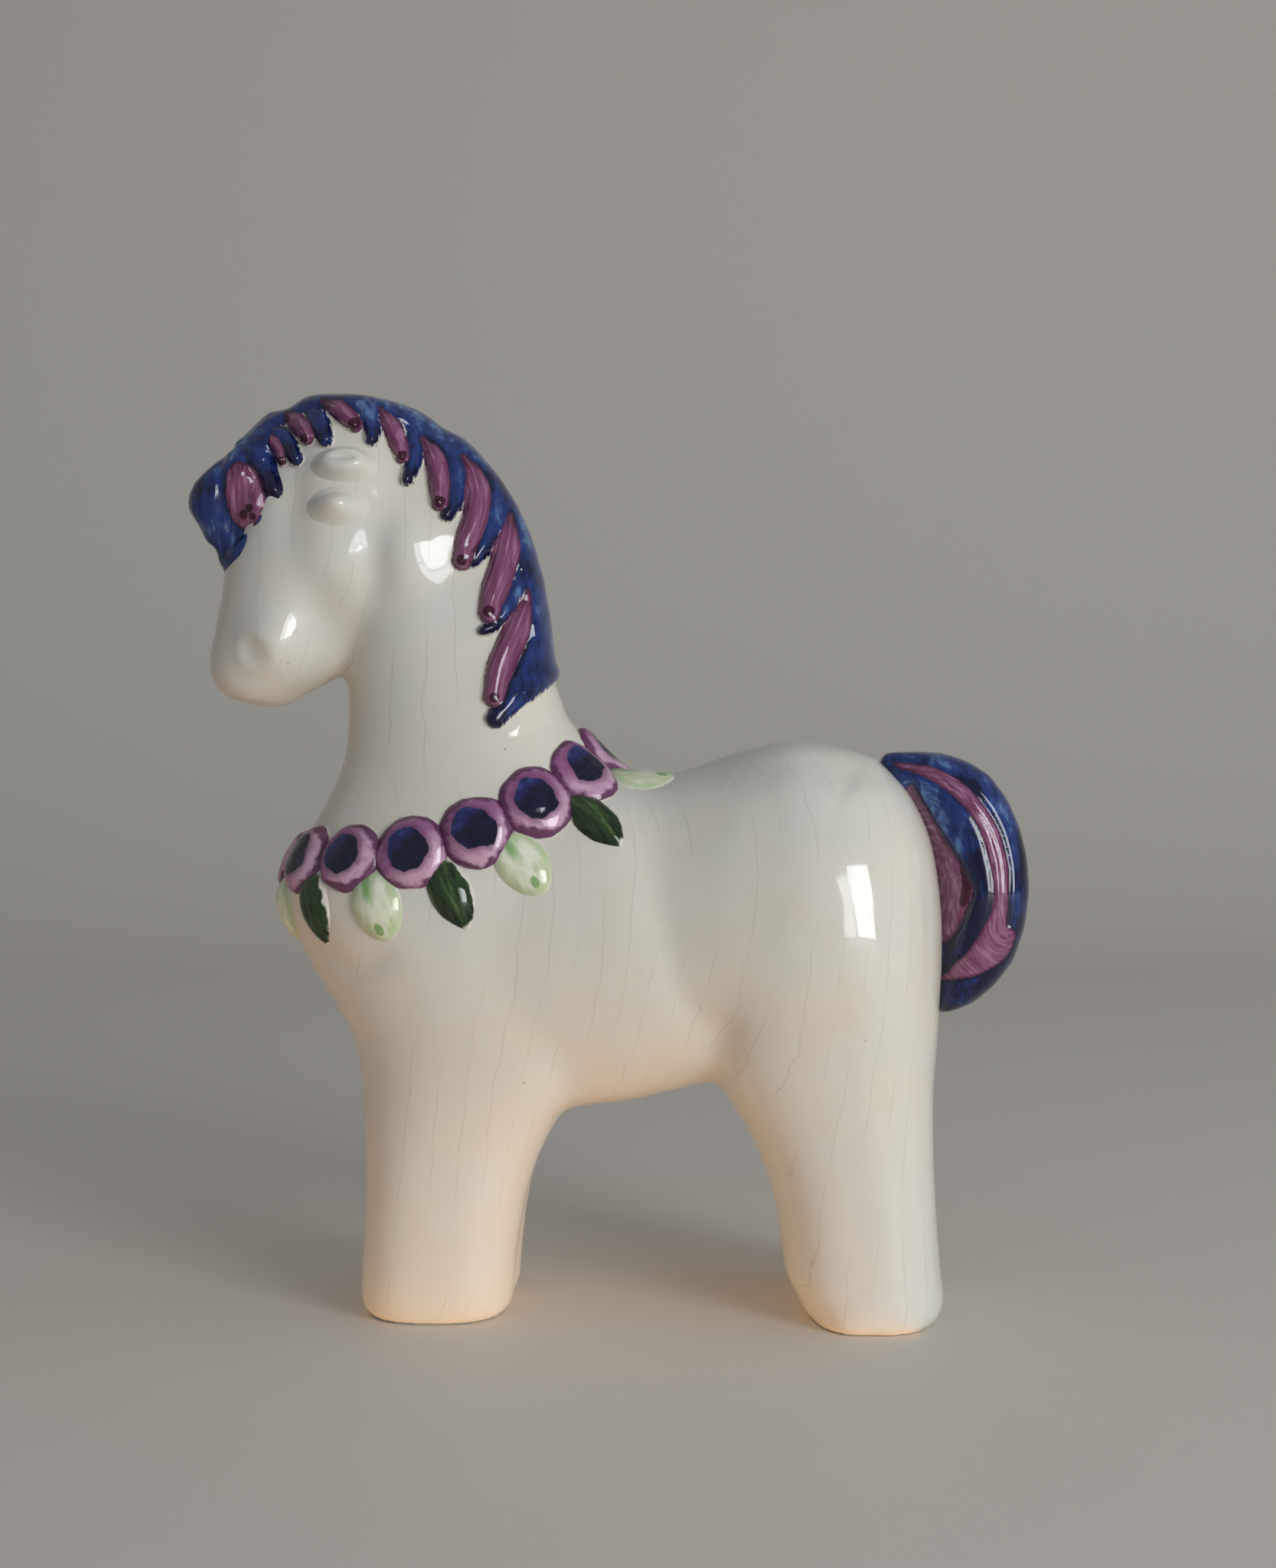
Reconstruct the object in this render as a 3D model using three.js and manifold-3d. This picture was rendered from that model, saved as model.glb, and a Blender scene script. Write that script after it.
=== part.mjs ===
// A ceramic horse figurine, in millimetres, +Z up.
// The horse faces -X and its left side faces -Y. The origin is under the middle, on the table.
// The body is two hollow halves joined on the middle plane. The hair, ears, eyelids, flowers
// and leaves are laid on the body, and each is cut to the body's own surface.
import * as THREE from 'three';
import { mergeVertices } from 'three/addons/utils/BufferGeometryUtils.js';
import Module from 'manifold-3d';

const solids = await Module();
solids.setup();

// Making sizes
const wall = 4.5;
const soleThickness = 6;
const soleEdge = 2.5;
const layGap = 0.3;
const ventDiameter = 5;

// Stance: the middles of the two pairs of legs stand this far apart.
const legSpacing = 69.2;
const foreX = -legSpacing / 2;
const hindX = legSpacing / 2;

// Main heights, one on top of the other: the legs up to the belly, the trunk up to the
// withers, and the neck up to the poll.
const legHeight = 32;
const trunkHeight = 58;
const neckHeight = 55.6;
const withersLevel = legHeight + trunkHeight;
const pollLevel = withersLevel + neckHeight;

// Each pair of legs is one block with a shallow groove down its middle, before and behind.
const grooveDepth = 1.3;
const grooveHalfWidth = 3.2;

// Gives sections their heights, from the level that they are measured from.
const raised = (base, sections) => sections.map((s) => ({ ...s, level: base + s.level }));

// Sections of the forequarter, from the sole to the crown. level is the height of the front
// edge and lift is how much higher the back edge is. ahead and behind run from the foreleg's
// middle. square is 2 for an ellipse and more for a squarer section.
const foreSections = [
  { level: soleEdge, lift: 0, ahead: 12.7, behind: 13, width: 36.6, square: 2.8, groove: 1 },
  { level: 20, lift: 0, ahead: 11.9, behind: 15.3, width: 36.6, square: 2.7, groove: 1 },
  ...raised(legHeight, [
    { level: 0, lift: 0, ahead: 12.3, behind: 20.6, width: 37.6, square: 2.5, groove: 0.8 },
    { level: 13, lift: 0, ahead: 14, behind: 32, width: 40, square: 2.3, groove: 0 },
    { level: 25, lift: 0, ahead: 21.4, behind: 35, width: 42.2, square: 2.2, groove: 0 },
    { level: 37, lift: 0, ahead: 25.8, behind: 34, width: 43.4, square: 2.1, groove: 0 },
  ]),
  ...raised(withersLevel, [
    { level: -10, lift: 3, ahead: 20.4, behind: 33, width: 38.4, square: 2, groove: 0 },
    { level: 0, lift: 1, ahead: 15.6, behind: 26.4, width: 31.4, square: 2, groove: 0 },
    { level: 11, lift: 2, ahead: 14.9, behind: 19.2, width: 28, square: 2, groove: 0 },
  ]),
  ...raised(pollLevel, [
    { level: -32.6, lift: 8, ahead: 17.6, behind: 15.2, width: 25.6, square: 2, groove: 0 },
    { level: -25.6, lift: 11.5, ahead: 20.4, behind: 11, width: 24.2, square: 2, groove: 0 },
    { level: -18.6, lift: 14.5, ahead: 23.8, behind: 3.2, width: 22, square: 2, groove: 0 },
  ]),
];
const crownDome = 6;

// Sections of the head, from the poll to the lips, on the same middle as the foreleg.
const headSections = raised(pollLevel, [
  { level: 0, lift: 0, ahead: 24.4, behind: -2, width: 20, square: 2, groove: 0 },
  { level: -6.1, lift: -3.5, ahead: 29.8, behind: 2, width: 24.8, square: 2, groove: 0 },
  { level: -14.6, lift: -5, ahead: 33.1, behind: 1.2, width: 27.2, square: 2, groove: 0 },
  { level: -21.6, lift: -7.5, ahead: 34.9, behind: -2.4, width: 27.4, square: 2, groove: 0 },
  { level: -28.6, lift: -8, ahead: 35.9, behind: -9.4, width: 24.8, square: 2, groove: 0 },
  { level: -35.1, lift: -6.6, ahead: 37.2, behind: -16.4, width: 21.2, square: 2, groove: 0 },
  { level: -40.6, lift: -3.8, ahead: 38.1, behind: -21.8, width: 18.4, square: 2.1, groove: 0 },
  { level: -43, lift: -2.6, ahead: 36.9, behind: -24, width: 16.2, square: 2.1, groove: 0 },
]);
const pollDome = 2.8;
const lipDome = 2.2;

// Sections of the hindquarter, from the sole to the rump, from the hind leg's middle.
const hindSections = [
  { level: soleEdge, lift: 0, ahead: 12.4, behind: 13.7, width: 42, square: 2.8, groove: 1 },
  { level: 11, lift: 0, ahead: 13.1, behind: 13, width: 41.2, square: 2.7, groove: 1 },
  { level: 22, lift: 0, ahead: 15.2, behind: 12.4, width: 40.4, square: 2.6, groove: 1 },
  ...raised(legHeight, [
    { level: -1, lift: 0, ahead: 19.2, behind: 12.2, width: 41, square: 2.5, groove: 0.8 },
    { level: 8, lift: 0, ahead: 25.2, behind: 12.5, width: 43.8, square: 2.3, groove: 0 },
    { level: 20, lift: 0, ahead: 29.5, behind: 13.4, width: 48.6, square: 2.1, groove: 0 },
    { level: 32, lift: 0, ahead: 31, behind: 13.8, width: 50.8, square: 2, groove: 0 },
  ]),
  ...raised(withersLevel, [
    { level: -14, lift: 0, ahead: 29.4, behind: 12.2, width: 47.2, square: 2, groove: 0 },
    { level: -5, lift: 0, ahead: 27.4, behind: 8.2, width: 37.4, square: 2, groove: 0 },
    { level: -1.6, lift: 2, ahead: 25.6, behind: 3.2, width: 25, square: 2, groove: 0 },
  ]),
];
const rumpDome = 3;

// Sections of the barrel, from the shoulder to the flank. back runs up from the withers'
// level and belly from the legs' top.
const barrelSections = [
  { x: foreX - 7, back: -8, belly: 14, width: 36, square: 2.2 },
  { x: foreX + 5, back: -3, belly: 5, width: 41, square: 2.2 },
  { x: foreX + 18, back: -0.7, belly: 0.8, width: 43, square: 2.2 },
  { x: foreX + 26, back: -0.9, belly: 1.4, width: 43.6, square: 2.2 },
  { x: foreX + 34, back: -2.8, belly: 2.6, width: 43.6, square: 2.2 },
  { x: hindX - 28, back: -2.4, belly: 4.4, width: 43, square: 2.2 },
  { x: hindX - 18, back: 0.2, belly: 6.4, width: 41, square: 2.2 },
  { x: hindX - 8, back: -6, belly: 12, width: 36, square: 2.2 },
];

// The tail's outer edge and its root on the rump, from the hind leg's middle.
const tailSections = raised(withersLevel, [
  { level: 1.4, lift: -5.4, ahead: -4.6, behind: 1, width: 6, square: 2, groove: 0 },
  { level: 1.4, lift: -7.4, ahead: -13.6, behind: 7, width: 12, square: 2, groove: 0 },
  { level: -2.2, lift: -8.8, ahead: -21.4, behind: 10, width: 15, square: 2, groove: 0 },
  { level: -10.8, lift: -5.2, ahead: -26.4, behind: 11.4, width: 16.4, square: 2, groove: 0 },
  { level: -21.2, lift: -1.8, ahead: -28, behind: 12, width: 16.8, square: 2, groove: 0 },
  { level: -32.8, lift: 2.8, ahead: -25.4, behind: 12, width: 15.4, square: 2, groove: 0 },
  { level: -39.8, lift: 3.8, ahead: -18.8, behind: 11.6, width: 11, square: 2, groove: 0 },
  { level: -41.6, lift: 2, ahead: -13.6, behind: 10.4, width: 5, square: 2, groove: 0 },
]);
const tailDome = 0.6;

// The forelock's rolled front edge and its root on the forehead, from the foreleg's middle.
const forelockSections = raised(pollLevel, [
  { level: 2.3, lift: -7.3, ahead: 27.8, behind: -20.8, width: 14, square: 2, groove: 0 },
  { level: -2.4, lift: -6.4, ahead: 32.6, behind: -25.4, width: 18, square: 2, groove: 0 },
  { level: -6.2, lift: -5.9, ahead: 36.8, behind: -28.4, width: 19.4, square: 2, groove: 0 },
  { level: -10.4, lift: -5.2, ahead: 40.7, behind: -30.4, width: 19, square: 2, groove: 0 },
  { level: -14.6, lift: -3.8, ahead: 41.3, behind: -31.6, width: 16.8, square: 2, groove: 0 },
  { level: -18.8, lift: -2, ahead: 39, behind: -33, width: 12, square: 2, groove: 0 },
]);
const forelockDome = 3;

// The mane follows the crest, by angles about the middle of the head and neck. It thins to
// nothing over the taper at its lower end.
const maneCentre = { x: foreX - 6.9, z: pollLevel - 27.6 };
const maneThickness = 1.9;
const maneFrontDepth = 3.2;
const maneBackDepth = 8;
const maneFrontAngle = 128;
const maneBackAngle = -30;
const maneTaperAngle = 30;

// The locks of the mane, from the poll to the withers. Each starts on the crest at its angle
// and runs along its heading, and the same lock lies on both sides.
const maneLocks = [
  { angle: 128, length: 5, heading: -50, width: 4 },
  { angle: 120, length: 6, heading: -38, width: 4.4 },
  { angle: 107, length: 6.6, heading: -40, width: 4.6 },
  { angle: 91, length: 8, heading: -64, width: 5 },
  { angle: 74, length: 11, heading: -80, width: 5.2 },
  { angle: 52, length: 15.6, heading: -101, width: 5.6 },
  { angle: 27, length: 16.6, heading: -107, width: 6 },
  { angle: 0, length: 19, heading: -110, width: 6 },
  { angle: -18, length: 17, heading: -125, width: 7 },
  { angle: -27, length: 10, heading: -142, width: 5 },
];
const lockRootDepth = 1.4;
const lockThickness = 2.7;
const lockFullness = 0.6;

// Features of the face, from the foreleg's middle and down from the poll
const earAhead = 12.6;
const earDrop = 8.2;
const earLength = 12.2;
const earHeight = 5.4;
const earThickness = 2.2;
const eyelidAhead = 14.5;
const eyelidDrop = 15;
const eyelidLength = 9.4;
const eyelidHeight = 5.6;
const eyelidThickness = 1.5;
const nostrilAhead = 28.6;
const nostrilDrop = 37;
const nostrilRadius = 2.4;
const nostrilDepth = 0.8;

// The garland hangs round the neck's root, from the chest up to the withers.
const garlandX = foreX + 1;
const garlandDrop = 17.2;
const garlandBackLevel = withersLevel + 0.6;
const garlandFrontLevel = garlandBackLevel - garlandDrop;
const garlandSag = 2.45;
const garlandSwing = 1.2;
const flowerCount = 14;
const flowerGap = 0.5;
const flowerThickness = 2.1;
const flowerEyeShare = 0.32;
const darkLeaf = { length: 12.8, width: 6.8 };
const paleLeaf = { length: 11.2, width: 8.4 };
const leafThickness = 1.6;
const leafFullness = 0.75;
const leafDrop = 8.4;
const leafShift = 0.7;
const leafLeans = [12, 18, 20, 20, 20, 2, 0];

// How far a piece laid on the skin goes into it before it is cut to fit
const layDepth = 2;

// Ears and eyelids, and flowers, as shares of radius and of thickness from the rim inwards
const ovalProfile = [[1, 0.05], [0.95, 0.6], [0.75, 1]];
const flowerProfile = [[1, 0.1], [0.98, 0.5], [0.84, 0.9], [0.7, 0.95]];
const flowerRootShare = 0.94;
const flowerDishLevel = 0.72;
const flowerDishWidth = 0.16;

// How finely curved surfaces are drawn
const bodySides = 28;
const stepsPerSection = 2;
const hollowSides = 12;
const hollowSteps = 1;
const hairSides = 20;
const hairSteps = 2;
const maneSteps = 1;
const domeSteps = 3;
const flowerSides = 12;
const ovalSides = 14;
const leafSides = 8;
const leafRounds = 7;
const lockSides = 6;
const lockRounds = 5;
const mergeWithin = 0.03;
const castStart = 32;
const crestCastStart = 38;
const layReach = 9;

// Solids from geometries and back
function toSolid(geometry) {
  const merged = mergeVertices(stripped(geometry), 1e-5);
  const mesh = new solids.Mesh({
    numProp: 3,
    vertProperties: new Float32Array(merged.getAttribute('position').array),
    triVerts: new Uint32Array(merged.index.array),
  });
  return new solids.Manifold(mesh);
}

function toGeometry(solid) {
  const mesh = solid.getMesh();
  const geometry = new THREE.BufferGeometry();
  geometry.setAttribute('position', new THREE.BufferAttribute(mesh.vertProperties.slice(), 3));
  geometry.setIndex(new THREE.BufferAttribute(mesh.triVerts.slice(), 1));
  return geometry;
}

// A geometry with nothing but its points and faces
function stripped(geometry) {
  const bare = new THREE.BufferGeometry();
  bare.setAttribute('position', geometry.getAttribute('position').clone());
  if (geometry.index) bare.setIndex(geometry.index.clone());
  return bare;
}

function joined(parts) {
  return parts.reduce((whole, part) => whole.add(part));
}

// A loft between two edges in the middle plane. Its sections stand square to that plane.
function loftShape(sections) {
  const curve = (pick) => new THREE.CatmullRomCurve3(sections.map(pick), false, 'centripetal');
  return {
    spans: sections.length - 1,
    front: curve((s) => new THREE.Vector3(s.front.x, 0, s.front.y)),
    back: curve((s) => new THREE.Vector3(s.back.x, 0, s.back.y)),
    form: curve((s) => new THREE.Vector3(s.width / 2, s.square, s.groove)),
  };
}

function uprightSections(middle, facing, sections) {
  return sections.map((s) => ({
    ...s,
    front: new THREE.Vector2(middle + facing * s.ahead, s.level),
    back: new THREE.Vector2(middle - facing * s.behind, s.level + s.lift),
  }));
}

function sectionAt(shape, t) {
  const front = shape.front.getPoint(t);
  const back = shape.back.getPoint(t);
  const form = shape.form.getPoint(t);
  const middle = front.clone().add(back).multiplyScalar(0.5);
  const across = front.clone().sub(back);
  const reach = across.length() / 2;
  return { middle, across: across.normalize(), reach, half: form.x, square: form.y, groove: form.z };
}

function superellipse(angle, square) {
  const bend = (v) => (Math.abs(v) < 1e-9 ? 0 : Math.sign(v) * Math.abs(v) ** (2 / square));
  return [bend(Math.cos(angle)), bend(Math.sin(angle))];
}

function ringPoints(section, sides, grow, scale, inset, shift) {
  const points = [];
  for (let i = 0; i < sides; i += 1) {
    const [c, s] = superellipse((2 * Math.PI * i) / sides, section.square);
    const y = s * (section.half + grow - inset) * scale;
    const dip = section.groove * grooveDepth * Math.exp(-((y / grooveHalfWidth) ** 2));
    const x = c * ((section.reach + grow - inset) * scale - dip * Math.abs(c));
    const point = section.middle.clone().addScaledVector(section.across, x).add(shift);
    point.y = y;
    points.push(point);
  }
  return points;
}

// An end is flat, a dome of a given depth, or a sole with a rounded edge.
function endRings(shape, atStart, end, sides, grow) {
  const t = atStart ? 0 : 1;
  const section = sectionAt(shape, t);
  const next = sectionAt(shape, atStart ? 0.02 : 0.98);
  const outward = new THREE.Vector3(-section.across.z, 0, section.across.x);
  if (outward.dot(next.middle.clone().sub(section.middle)) > 0) outward.negate();
  const rings = [];
  const tip = outward.clone();
  if (end.dome) {
    const depth = end.dome + grow;
    for (let k = 1; k < domeSteps; k += 1) {
      const angle = (Math.PI / 2) * (k / domeSteps);
      const shift = outward.clone().multiplyScalar(depth * Math.sin(angle));
      rings.push(ringPoints(section, sides, grow, Math.cos(angle), 0, shift));
    }
    tip.multiplyScalar(depth);
  } else if (end.edge) {
    for (let k = 1; k <= domeSteps; k += 1) {
      const angle = (Math.PI / 2) * (k / domeSteps);
      const shift = outward.clone().multiplyScalar(end.edge * Math.sin(angle));
      rings.push(ringPoints(section, sides, grow, 1, end.edge * (1 - Math.cos(angle)), shift));
    }
    tip.multiplyScalar(end.edge);
  } else {
    tip.multiplyScalar(0);
  }
  return { rings, tip: section.middle.clone().add(tip) };
}

function loft(shape, { start = {}, finish = {}, sides = bodySides, steps = stepsPerSection, grow = 0 } = {}) {
  const first = endRings(shape, true, start, sides, grow);
  const last = endRings(shape, false, finish, sides, grow);
  const count = shape.spans * steps;
  const rings = [...first.rings].reverse();
  for (let k = 0; k <= count; k += 1) {
    rings.push(ringPoints(sectionAt(shape, k / count), sides, grow, 1, 0, new THREE.Vector3()));
  }
  rings.push(...last.rings);
  const points = rings.flat();
  const firstTip = points.push(first.tip) - 1;
  const lastTip = points.push(last.tip) - 1;
  const index = [];
  for (let r = 0; r + 1 < rings.length; r += 1) {
    for (let i = 0; i < sides; i += 1) {
      const a = r * sides + i;
      const b = r * sides + ((i + 1) % sides);
      index.push(a, b, a + sides, b, b + sides, a + sides);
    }
  }
  const top = (rings.length - 1) * sides;
  for (let i = 0; i < sides; i += 1) {
    const j = (i + 1) % sides;
    index.push(j, i, firstTip);
    index.push(top + i, top + j, lastTip);
  }
  const geometry = new THREE.BufferGeometry().setFromPoints(points);
  geometry.setIndex(index);
  return closedSolid(geometry);
}

// Turns a geometry's faces outwards if they point in, and gives its solid.
function closedSolid(geometry) {
  const position = geometry.getAttribute('position');
  const corner = [0, 1, 2].map(() => new THREE.Vector3());
  const index = geometry.index.array;
  let volume = 0;
  for (let i = 0; i < index.length; i += 3) {
    corner.forEach((v, k) => v.fromBufferAttribute(position, index[i + k]));
    volume += corner[0].dot(corner[1].clone().cross(corner[2]));
  }
  if (volume < 0) {
    for (let i = 0; i < index.length; i += 3) [index[i + 1], index[i + 2]] = [index[i + 2], index[i + 1]];
  }
  return toSolid(geometry);
}

// The body's four forms
const foreShape = loftShape(uprightSections(foreX, -1, foreSections));
const hindShape = loftShape(uprightSections(hindX, -1, hindSections));
const headShape = loftShape(uprightSections(foreX, -1, headSections));
const barrelShape = loftShape(barrelSections.map((s) => ({
  ...s,
  groove: 0,
  front: new THREE.Vector2(s.x, withersLevel + s.back),
  back: new THREE.Vector2(s.x, legHeight + s.belly),
})));

function headAndNeck(grow, detail = {}) {
  return loft(headShape, { start: { dome: pollDome }, finish: { dome: lipDome }, grow, ...detail })
    .add(loft(foreShape, { start: { edge: soleEdge }, finish: { dome: crownDome }, grow, ...detail }));
}

function bodySolid(grow, detail = {}) {
  return joined([
    headAndNeck(grow, detail),
    loft(hindShape, { start: { edge: soleEdge }, finish: { dome: rumpDome }, grow, ...detail }),
    loft(barrelShape, { grow, ...detail }),
  ]);
}

const outerBody = bodySolid(0);
const layBed = bodySolid(layGap);
const skin = new THREE.Mesh(toGeometry(outerBody), new THREE.MeshBasicMaterial({ side: THREE.DoubleSide }));
const caster = new THREE.Raycaster();

function skinPoint(origin, direction) {
  caster.set(origin, direction.clone().normalize());
  const hit = caster.intersectObject(skin, false)[0];
  return hit ? hit.point : null;
}

// A seat on the skin: its middle, its outward normal, and a direction along the skin.
function seatAt(origin, direction, heading) {
  const middle = skinPoint(origin, direction);
  const toward = direction.clone().normalize();
  const side = heading.clone().addScaledVector(toward, -heading.dot(toward)).normalize();
  const up = toward.clone().cross(side);
  const probe = (a, b) => skinPoint(
    origin.clone().addScaledVector(side, a).addScaledVector(up, b),
    direction,
  ) ?? middle;
  const reach = 2;
  const slopeA = probe(reach, 0).sub(probe(-reach, 0));
  const slopeB = probe(0, reach).sub(probe(0, -reach));
  const normal = slopeA.cross(slopeB).normalize();
  if (normal.dot(toward) > 0) normal.negate();
  const along = heading.clone().addScaledVector(normal, -heading.dot(normal)).normalize();
  return { middle, normal, along, down: normal.clone().cross(along) };
}

// The seat reached by walking over the skin from another seat.
function walkFrom(seat, a, b) {
  const origin = seat.middle.clone()
    .addScaledVector(seat.along, a)
    .addScaledVector(seat.down, b)
    .addScaledVector(seat.normal, layReach);
  return seatAt(origin, seat.normal.clone().negate(), seat.along);
}

// Lays a geometry on the skin. Its x runs along the seat, its y down, its z out of the skin.
function laidOn(blank, seat) {
  const geometry = stripped(blank);
  const position = geometry.getAttribute('position');
  const inward = seat.normal.clone().negate();
  const point = new THREE.Vector3();
  for (let i = 0; i < position.count; i += 1) {
    point.fromBufferAttribute(position, i);
    const flat = seat.middle.clone().addScaledVector(seat.along, point.x).addScaledVector(seat.down, point.y);
    const ground = skinPoint(flat.clone().addScaledVector(seat.normal, layReach), inward) ?? flat;
    ground.addScaledVector(seat.normal, point.z);
    position.setXYZ(i, ground.x, ground.y, ground.z);
  }
  return closedSolid(mergeVertices(geometry, 1e-4));
}

// A boss is turned about its middle, from points of radius and height.
function boss(points, sides) {
  const profile = points.map(([r, z]) => new THREE.Vector2(r, z));
  return new THREE.LatheGeometry(profile, sides).rotateX(Math.PI / 2);
}

// A pointed lens lies with its length down the seat.
function lens(length, width, thickness, fullness, sides, rounds) {
  const profile = [];
  for (let k = 0; k <= rounds; k += 1) {
    const t = k / rounds;
    const round = k === 0 || k === rounds ? 0 : Math.sin(Math.PI * t) ** fullness;
    profile.push(new THREE.Vector2((width / 2) * round, length * (t - 0.5)));
  }
  return new THREE.LatheGeometry(profile, sides).scale(1, 1, (2 * thickness) / width);
}

// The hollow inside the body, which the two halves close
function hollowSolid() {
  const inner = bodySolid(-wall, { sides: hollowSides, steps: hollowSteps });
  const box = new THREE.Box3().setFromObject(skin);
  const size = box.getSize(new THREE.Vector3());
  const keep = new THREE.BoxGeometry(size.x, size.y, size.z)
    .translate((box.min.x + box.max.x) / 2, 0, soleThickness + size.z / 2);
  return inner.intersect(toSolid(keep));
}

function nostrilCuts() {
  return joined([-1, 1].map((side) => {
    const aim = new THREE.Vector3(0, -side, 0);
    const from = new THREE.Vector3(foreX - nostrilAhead, side * castStart, pollLevel - nostrilDrop);
    const seat = seatAt(from, aim, new THREE.Vector3(1, 0, 0));
    const ballRadius = (nostrilRadius ** 2 + nostrilDepth ** 2) / (2 * nostrilDepth);
    const centre = seat.middle.clone().addScaledVector(seat.normal, ballRadius - nostrilDepth);
    return toSolid(new THREE.SphereGeometry(ballRadius, 24, 16).translate(centre.x, centre.y, centre.z));
  }));
}

function ventCut() {
  const x = (foreX + hindX) / 2;
  const level = legHeight + barrelSections[3].belly;
  return toSolid(new THREE.CylinderGeometry(ventDiameter / 2, ventDiameter / 2, 4 * wall, 16)
    .rotateX(Math.PI / 2).translate(x, 0, level + wall / 2));
}

// Half of the body, with the cut face put exactly on the middle plane
function bodyHalf(whole, side) {
  const box = new THREE.Box3().setFromObject(skin);
  const size = box.getSize(new THREE.Vector3()).multiplyScalar(1.2);
  const middle = box.getCenter(new THREE.Vector3());
  const keep = new THREE.BoxGeometry(size.x, size.y, size.z)
    .translate(middle.x, (side * size.y) / 2, middle.z);
  const geometry = toGeometry(whole.intersect(toSolid(keep)));
  const position = geometry.getAttribute('position');
  for (let i = 0; i < position.count; i += 1) {
    if (Math.abs(position.getY(i)) < 1e-3) position.setY(i, 0);
  }
  return geometry;
}

// Hair
const forelockShape = loftShape(uprightSections(foreX, -1, forelockSections));
const tailShape = loftShape(uprightSections(hindX, -1, tailSections));

function forelockSolid(grow) {
  return loft(forelockShape, { finish: { dome: forelockDome }, sides: hairSides, steps: hairSteps, grow });
}

function tailSolid() {
  return loft(tailShape, {
    start: { dome: tailDome }, finish: { dome: tailDome }, sides: hairSides, steps: hairSteps,
  }).subtract(layBed);
}

function crestPoint(degrees) {
  const angle = THREE.MathUtils.degToRad(degrees);
  const outward = new THREE.Vector3(Math.cos(angle), 0, Math.sin(angle));
  const centre = new THREE.Vector3(maneCentre.x, 0, maneCentre.z);
  const far = centre.clone().addScaledVector(outward, crestCastStart);
  const point = skinPoint(far, outward.clone().negate());
  return { point, outward };
}

// The mane's outline from the side: along the crest outside, and back along its lower edge.
function maneOutline() {
  const outer = [];
  const inner = [];
  const steps = 20;
  const taperTop = maneBackAngle + maneTaperAngle;
  for (let k = 0; k <= steps; k += 1) {
    const degrees = THREE.MathUtils.lerp(maneBackAngle, maneFrontAngle, k / steps);
    const { point, outward } = crestPoint(degrees);
    const thick = THREE.MathUtils.mapLinear(degrees, maneBackAngle, taperTop, layGap, maneThickness);
    const out = point.clone().addScaledVector(outward, degrees < taperTop ? thick : layReach);
    const depth = THREE.MathUtils.lerp(maneBackDepth, maneFrontDepth, k / steps);
    const inside = point.clone().addScaledVector(outward, -depth);
    outer.push(new THREE.Vector2(out.x, out.z));
    inner.push(new THREE.Vector2(inside.x, inside.z));
  }
  return new THREE.Shape([...outer, ...inner.reverse()]);
}

function maneBand() {
  const depth = 2 * castStart;
  const outline = new THREE.ExtrudeGeometry(maneOutline(), { depth, bevelEnabled: false })
    .rotateX(Math.PI / 2).translate(0, depth / 2, 0);
  return headAndNeck(maneThickness, { steps: maneSteps }).intersect(closedSolid(mergeVertices(stripped(outline))));
}

// One lock on one side, swept down and back from the crest
function maneLock(lock, side) {
  const root = crestPoint(lock.angle);
  root.point.addScaledVector(root.outward, -lockRootDepth);
  const heading = THREE.MathUtils.degToRad(lock.heading);
  const run = new THREE.Vector3(Math.cos(heading), 0, Math.sin(heading));
  const from = root.point.clone().addScaledVector(run, lock.length / 2);
  from.y = side * castStart;
  const seat = seatAt(from, new THREE.Vector3(0, -side, 0), run);
  const form = lens(lock.length, lock.width, lockThickness, lockFullness, lockSides, lockRounds);
  return laidOn(form.rotateZ(-Math.PI / 2), seat);
}

function maneSolid() {
  const locks = maneLocks.flatMap((lock) => [maneLock(lock, -1), maneLock(lock, 1)]);
  return joined([maneBand(), ...locks]).subtract(layBed).subtract(forelockSolid(layGap));
}

// Ears and eyelids: flat ovals on the sides of the head
function faceOval(ahead, drop, length, height, thickness, side, hollow) {
  const aim = new THREE.Vector3(0, -side, 0);
  const from = new THREE.Vector3(foreX - ahead, side * castStart, pollLevel - drop);
  const seat = seatAt(from, aim, new THREE.Vector3(1, 0, 0));
  const r = length / 2;
  const rim = ovalProfile.map(([share, rise]) => [share * r, rise * thickness]);
  const top = [[0.45 * r, thickness * (1 - hollow / 2)], [0, thickness * (1 - hollow)]];
  const profile = [[0, -layDepth], [0.9 * r, -layDepth], ...rim, ...top];
  const geometry = boss(profile, ovalSides).scale(1, height / length, 1);
  return { seat, solid: laidOn(geometry, seat).subtract(layBed) };
}

// The garland's path over the skin, by heading: 0 at the chest and 180 at the withers
function garlandSeat(degrees, side) {
  const heading = THREE.MathUtils.degToRad(degrees);
  const outward = new THREE.Vector3(-Math.cos(heading), side * Math.sin(heading), 0);
  const rise = ((1 - Math.cos(heading)) / 2) ** garlandSag;
  const hang = THREE.MathUtils.lerp(garlandFrontLevel, garlandBackLevel, rise);
  const level = hang + garlandSwing * Math.sin(2 * heading);
  const from = new THREE.Vector3(garlandX, 0, level).addScaledVector(outward, castStart);
  const slope = garlandDrop / (2 * castStart);
  const run = new THREE.Vector3(Math.sin(heading), side * Math.cos(heading), slope * rise);
  return seatAt(from, outward.clone().negate(), run.normalize());
}

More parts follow.
